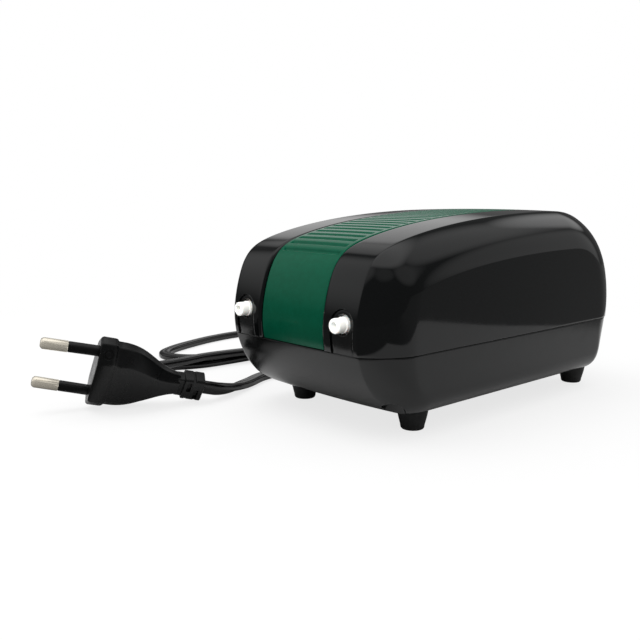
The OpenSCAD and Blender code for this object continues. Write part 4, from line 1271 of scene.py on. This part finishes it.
plastic("chamber_plastic", (0.68, 0.68, 0.66), roughness=0.36, variation=0.05, scale=800)
plastic("connector_nylon", (0.68, 0.56, 0.33), roughness=0.4, variation=0.08, scale=1500)
plastic("lead_red", (0.4, 0.04, 0.03), roughness=0.3, variation=0.08, grain=8e-6, scale=1800)
plastic("cable_black", (0.0028, 0.0029, 0.0031), roughness=0.2, variation=0.2,
        grain=2.5e-6, scale=900)
plastic("plug_black", (0.0030, 0.0033, 0.0035), roughness=0.30, variation=0.2,
        scale=1300, bevel=0.0002, ior=1.4)
metal("screw_steel", (0.5, 0.5, 0.5), roughness=0.3)
metal("pin_steel", (0.62, 0.62, 0.63), roughness=0.14, scale=4000, stretch=(1, 1, 0.05))
metal("clip_brass", (0.6, 0.42, 0.13), roughness=0.28)
metal("plug_nickel", (0.86, 0.80, 0.68), roughness=0.16, scale=3000, metallic=0.8)
plastic("magnet_ferrite", (0.06, 0.06, 0.065), roughness=0.5, variation=0.3,
        grain=4e-5, scale=1600)
laminated_steel()
copper_winding()
felt()
green_trim()


def dress(ob, slot, replaced=None):
    """Gives a piece its material; one not yet tied to a body rides on the casing."""
    ob.data.materials.clear()
    ob.data.materials.append(MATERIALS[slot])
    if "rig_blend" not in ob and "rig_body" not in ob:
        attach(ob, "casing")
    if replaced:
        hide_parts(replaced)


# (piece, material slot, frame piece it replaces)
for piece, slot, replaced in (
        (upper, "casing_upper", "upper_shell"),
        (lower, "casing_lower", "lower_shell"),
        (trim, "trim_green", "trim_panel"),
        (outlets[0], "nozzle_white", "outlet_nozzle_left"),
        (outlets[1], "nozzle_white", "outlet_nozzle_right"),
        (feet, "foot_rubber", "rubber_feet"),
        (strain_relief, "cable_black", "cable_grommet"),
        (cable, "cable_black", "mains_cable"),
        (plug, "plug_black", "plug_body"),
        (pins, "plug_nickel", "plug_pins"),
        (sleeves, "plug_black", "pin_sleeves")):
    dress(piece, slot, replaced)
for piece in diaphragms:
    dress(piece, "diaphragm_rubber")

# the frame's own pieces take the material of their slot
slot_of = {part["node"]: part["material_slot"] for part in frame["record"]["subparts"]}
for node_name, ob in frame["nodes"].items():
    material = MATERIALS[slot_of[node_name]]
    if not ob.data.materials:
        ob.data.materials.append(material)
    for i in range(len(ob.data.materials)):
        ob.data.materials[i] = material

# ------------------------------------------------------------------ floor
# sizes from here on are in metres, in the frame


def board_area(nodes, x, y):
    """1 on the pale board that reflections see, 0 beyond its front, rear right and right ends."""
    front = nodes.ramp(y, start=-0.126, end=-0.116)
    rear_right = nodes.math("ADD", nodes.math("MULTIPLY", x, 0.5736),
                            nodes.math("MULTIPLY", y, 0.8192))
    rear = nodes.ramp(rear_right, start=0.216, end=0.209)
    right = nodes.math("SUBTRACT", nodes.math("MULTIPLY", x, 0.966),
                       nodes.math("MULTIPLY", y, 0.2588))
    return nodes.math("MULTIPLY", nodes.math("MULTIPLY", front, rear),
                      nodes.ramp(right, start=0.188, end=0.178))


def board_seen_by_pump(nodes, x, y, glossy_ray):
    """Grey board; in reflections its tone is a painted reflection, raised above the bounce-light tone and
    painted darker to the right, with a dim painted glow past it that only reflections see.
    """
    area = board_area(nodes, x, y)
    board = nodes.node("BsdfDiffuse")
    # painted reflection: the board's tone for glossy rays is raised and painted darker towards the right
    painted_reflection_dimming = nodes.math("MULTIPLY", nodes.ramp(x, start=0.02, end=0.08), -0.25)
    painted_reflection_lift = nodes.math("MULTIPLY", glossy_ray, nodes.math("ADD", 0.44, painted_reflection_dimming))
    tone = nodes.math("ADD", 0.32, painted_reflection_lift)
    grey = nodes.node("CombineColor")
    for i in range(3):
        nodes.link(tone, grey.inputs[i])
    nodes.link(grey.outputs[0], board.inputs["Color"])
    # painted glow past the board, seen only in reflections; it stands in for a dim surround and is no lamp
    beyond = nodes.node("Emission")
    rearward = nodes.ramp(y, start=-0.1, end=0.1)
    nodes.link(nodes.math("ADD", 0.12, nodes.math("MULTIPLY", rearward, 0.06)),
               beyond.inputs["Strength"])
    painted_glow_mask = nodes.math("MULTIPLY", glossy_ray, nodes.math("SUBTRACT", 1.0, area))
    return nodes.mix_shader(painted_glow_mask, board.outputs[0], beyond.outputs[0])


def board_seen_by_camera(nodes, x, y, lit):
    """White, with a soft shadow near the pump."""
    glow = nodes.node("Emission")
    glow.inputs["Color"].default_value = (1, 1, 1, 1)
    squares = [nodes.math("POWER", nodes.math("ABSOLUTE", axis, 0), 2.0) for axis in (x, y)]
    far = nodes.ramp(nodes.math("ADD", *squares), start=0.03, end=0.10)
    return nodes.mix_shader(nodes.math("MAXIMUM", far, 0.76), lit.outputs[0], glow.outputs[0])


def studio_floor():
    half, z = 4, -FRAME_ZERO * MM
    mesh = bpy.data.meshes.new("floor")
    mesh.from_pydata([(-half, -half, z), (half, -half, z), (half, half, z), (-half, half, z)],
                     [], [(0, 1, 2, 3)])
    ob = bpy.data.objects.new("floor", mesh)
    bpy.context.scene.collection.objects.link(ob)
    material = bpy.data.materials.new("floor")
    material.use_nodes = True
    nodes = Nodes(material.node_tree)
    lit = next(n for n in nodes.tree.nodes if n.type == "BSDF_PRINCIPLED")
    output = next(n for n in nodes.tree.nodes if n.type == "OUTPUT_MATERIAL")
    lit.inputs["Base Color"].default_value = (0.93, 0.93, 0.93, 1)
    lit.inputs["Roughness"].default_value = 0.95
    lit.inputs["Specular IOR Level"].default_value = 0.1
    position = nodes.node("SeparateXYZ")
    nodes.link(nodes.node("NewGeometry").outputs["Position"], position.inputs[0])
    x, y = position.outputs["X"], position.outputs["Y"]
    ray = nodes.node("LightPath")
    by_pump = board_seen_by_pump(nodes, x, y, ray.outputs["Is Glossy Ray"])
    by_camera = board_seen_by_camera(nodes, x, y, lit)
    nodes.link(nodes.mix_shader(ray.outputs["Is Camera Ray"], by_pump, by_camera),
               output.inputs["Surface"])
    mesh.materials.append(material)


# ------------------------------------------------------------------ world

# soft round lights seen in reflections: azimuth (from +X towards +Y), elevation, inner and
# outer radius, all in degrees, and strength
LOBES = [
    (0, 90, 24, 40, 1.25),          # overhead
    (-135, 40, 18, 42, 0.78),       # front left, broad
    (-80, 46, 8, 24, 0.6),          # front
    (-37, 44, 6, 22, 0.37),         # front right
    (70, 48, 10, 26, 0.72),         # rear, slightly right, high
    (90, 30, 5, 15, 1.25),          # rear, lower
    (62, 12, 12, 24, 0.55),         # rear right, down to the horizon
    (14, 38, 12, 30, 0.5),          # right
    (137, 19, 8, 16, 0.85),         # rear left, low
    (150, 40, 8, 18, 0.6)]          # rear left, higher
REFLECTED_FLOOR = 0.135             # least strength seen in reflections


def lobe(nodes, view, azimuth, elevation, inner, outer, strength):
    around, up = math.radians(azimuth), math.radians(elevation)
    facing = nodes.node("VectorMath", operation="DOT_PRODUCT")
    nodes.link(view, facing.inputs[0])
    facing.inputs[1].default_value = (math.cos(around) * math.cos(up),
                                      math.sin(around) * math.cos(up), math.sin(up))
    return nodes.ramp(facing.outputs["Value"], start=math.cos(math.radians(outer)),
                      end=math.cos(math.radians(inner)), top=strength)


def studio_world():
    """Separate backgrounds for reflections, diffuse light and the camera."""
    world = bpy.data.worlds.new("studio")
    bpy.context.scene.world = world
    world.use_nodes = True
    nodes = Nodes(world.node_tree)
    nodes.tree.nodes.clear()
    output = nodes.node("OutputWorld")
    view = nodes.node("TexCoord").outputs["Generated"]
    strength = None
    for entry in LOBES:
        light = lobe(nodes, view, *entry)
        strength = light if strength is None else nodes.math("MAXIMUM", strength, light)
    strength = nodes.math("MAXIMUM", strength, REFLECTED_FLOOR)
    ray = nodes.node("LightPath")
    # the reflected background keeps the node's default colour
    reflected = nodes.node("Background")
    nodes.link(strength, reflected.inputs["Strength"])
    # diffuse light grows towards the zenith
    diffuse = nodes.node("Background")
    diffuse.inputs["Color"].default_value = (1, 1, 1, 1)
    split = nodes.node("SeparateXYZ")
    nodes.link(view, split.inputs[0])
    upward = nodes.math("POWER", nodes.math("MAXIMUM", split.outputs["Z"], 0.0), 1.5)
    nodes.link(nodes.math("ADD", 0.22, nodes.math("MULTIPLY", upward, 1.25)),
               diffuse.inputs["Strength"])
    backdrop = nodes.node("Background")
    backdrop.inputs["Color"].default_value = (1, 1, 1, 1)
    backdrop.inputs["Strength"].default_value = 1.0
    lighting = nodes.mix_shader(ray.outputs["Is Glossy Ray"],
                                diffuse.outputs[0], reflected.outputs[0])
    nodes.link(nodes.mix_shader(ray.outputs["Is Camera Ray"], lighting, backdrop.outputs[0]),
               output.inputs["Surface"])


# ------------------------------------------------------------------ lights and camera


def disk_light(name, location, target, size, power):
    """Round area light aimed at a point, hidden from reflections."""
    light = bpy.data.lights.new(name, "AREA")
    light.shape = "DISK"
    light.size = size
    light.energy = power
    ob = bpy.data.objects.new(name, light)
    bpy.context.scene.collection.objects.link(ob)
    ob.location = location
    aim = Vector(target) - Vector(location)
    ob.rotation_euler = aim.to_track_quat("-Z", "Y").to_euler()
    ob.visible_glossy = False
    return ob


def studio_lights():
    disk_light("key", location=(-0.25, -0.35, 0.85), target=(0, 0, 0.02), size=0.55, power=2.0)
    disk_light("fill", location=(0.55, -0.25, 0.5), target=(0, 0, 0.03), size=0.5, power=0.5)
    # small pale pieces get a light of their own from the front
    pale = bpy.data.collections.new("pale_pieces")
    for piece in outlets + [pins]:
        pale.objects.link(piece)
    card = disk_light("front_card", location=(0.25, -0.65, 0.30), target=(0, -0.08, 0.03),
                      size=0.4, power=6.0)
    card.light_linking.receiver_collection = pale


def studio_camera():
    camera = bpy.data.cameras.new("camera")
    camera.sensor_width = 36
    camera.lens = 43.31
    camera.clip_start = 0.01
    camera.clip_end = 20
    ob = bpy.data.objects.new("camera", camera)
    bpy.context.scene.collection.objects.link(ob)
    ob.location = (0.18609, -0.23217, 0.067)
    ob.rotation_euler = (math.radians(80.94), 0, math.radians(48.06))
    bpy.context.scene.camera = ob
    bpy.context.scene.view_settings.view_transform = "Standard"


studio_floor()
studio_world()
studio_lights()
studio_camera()
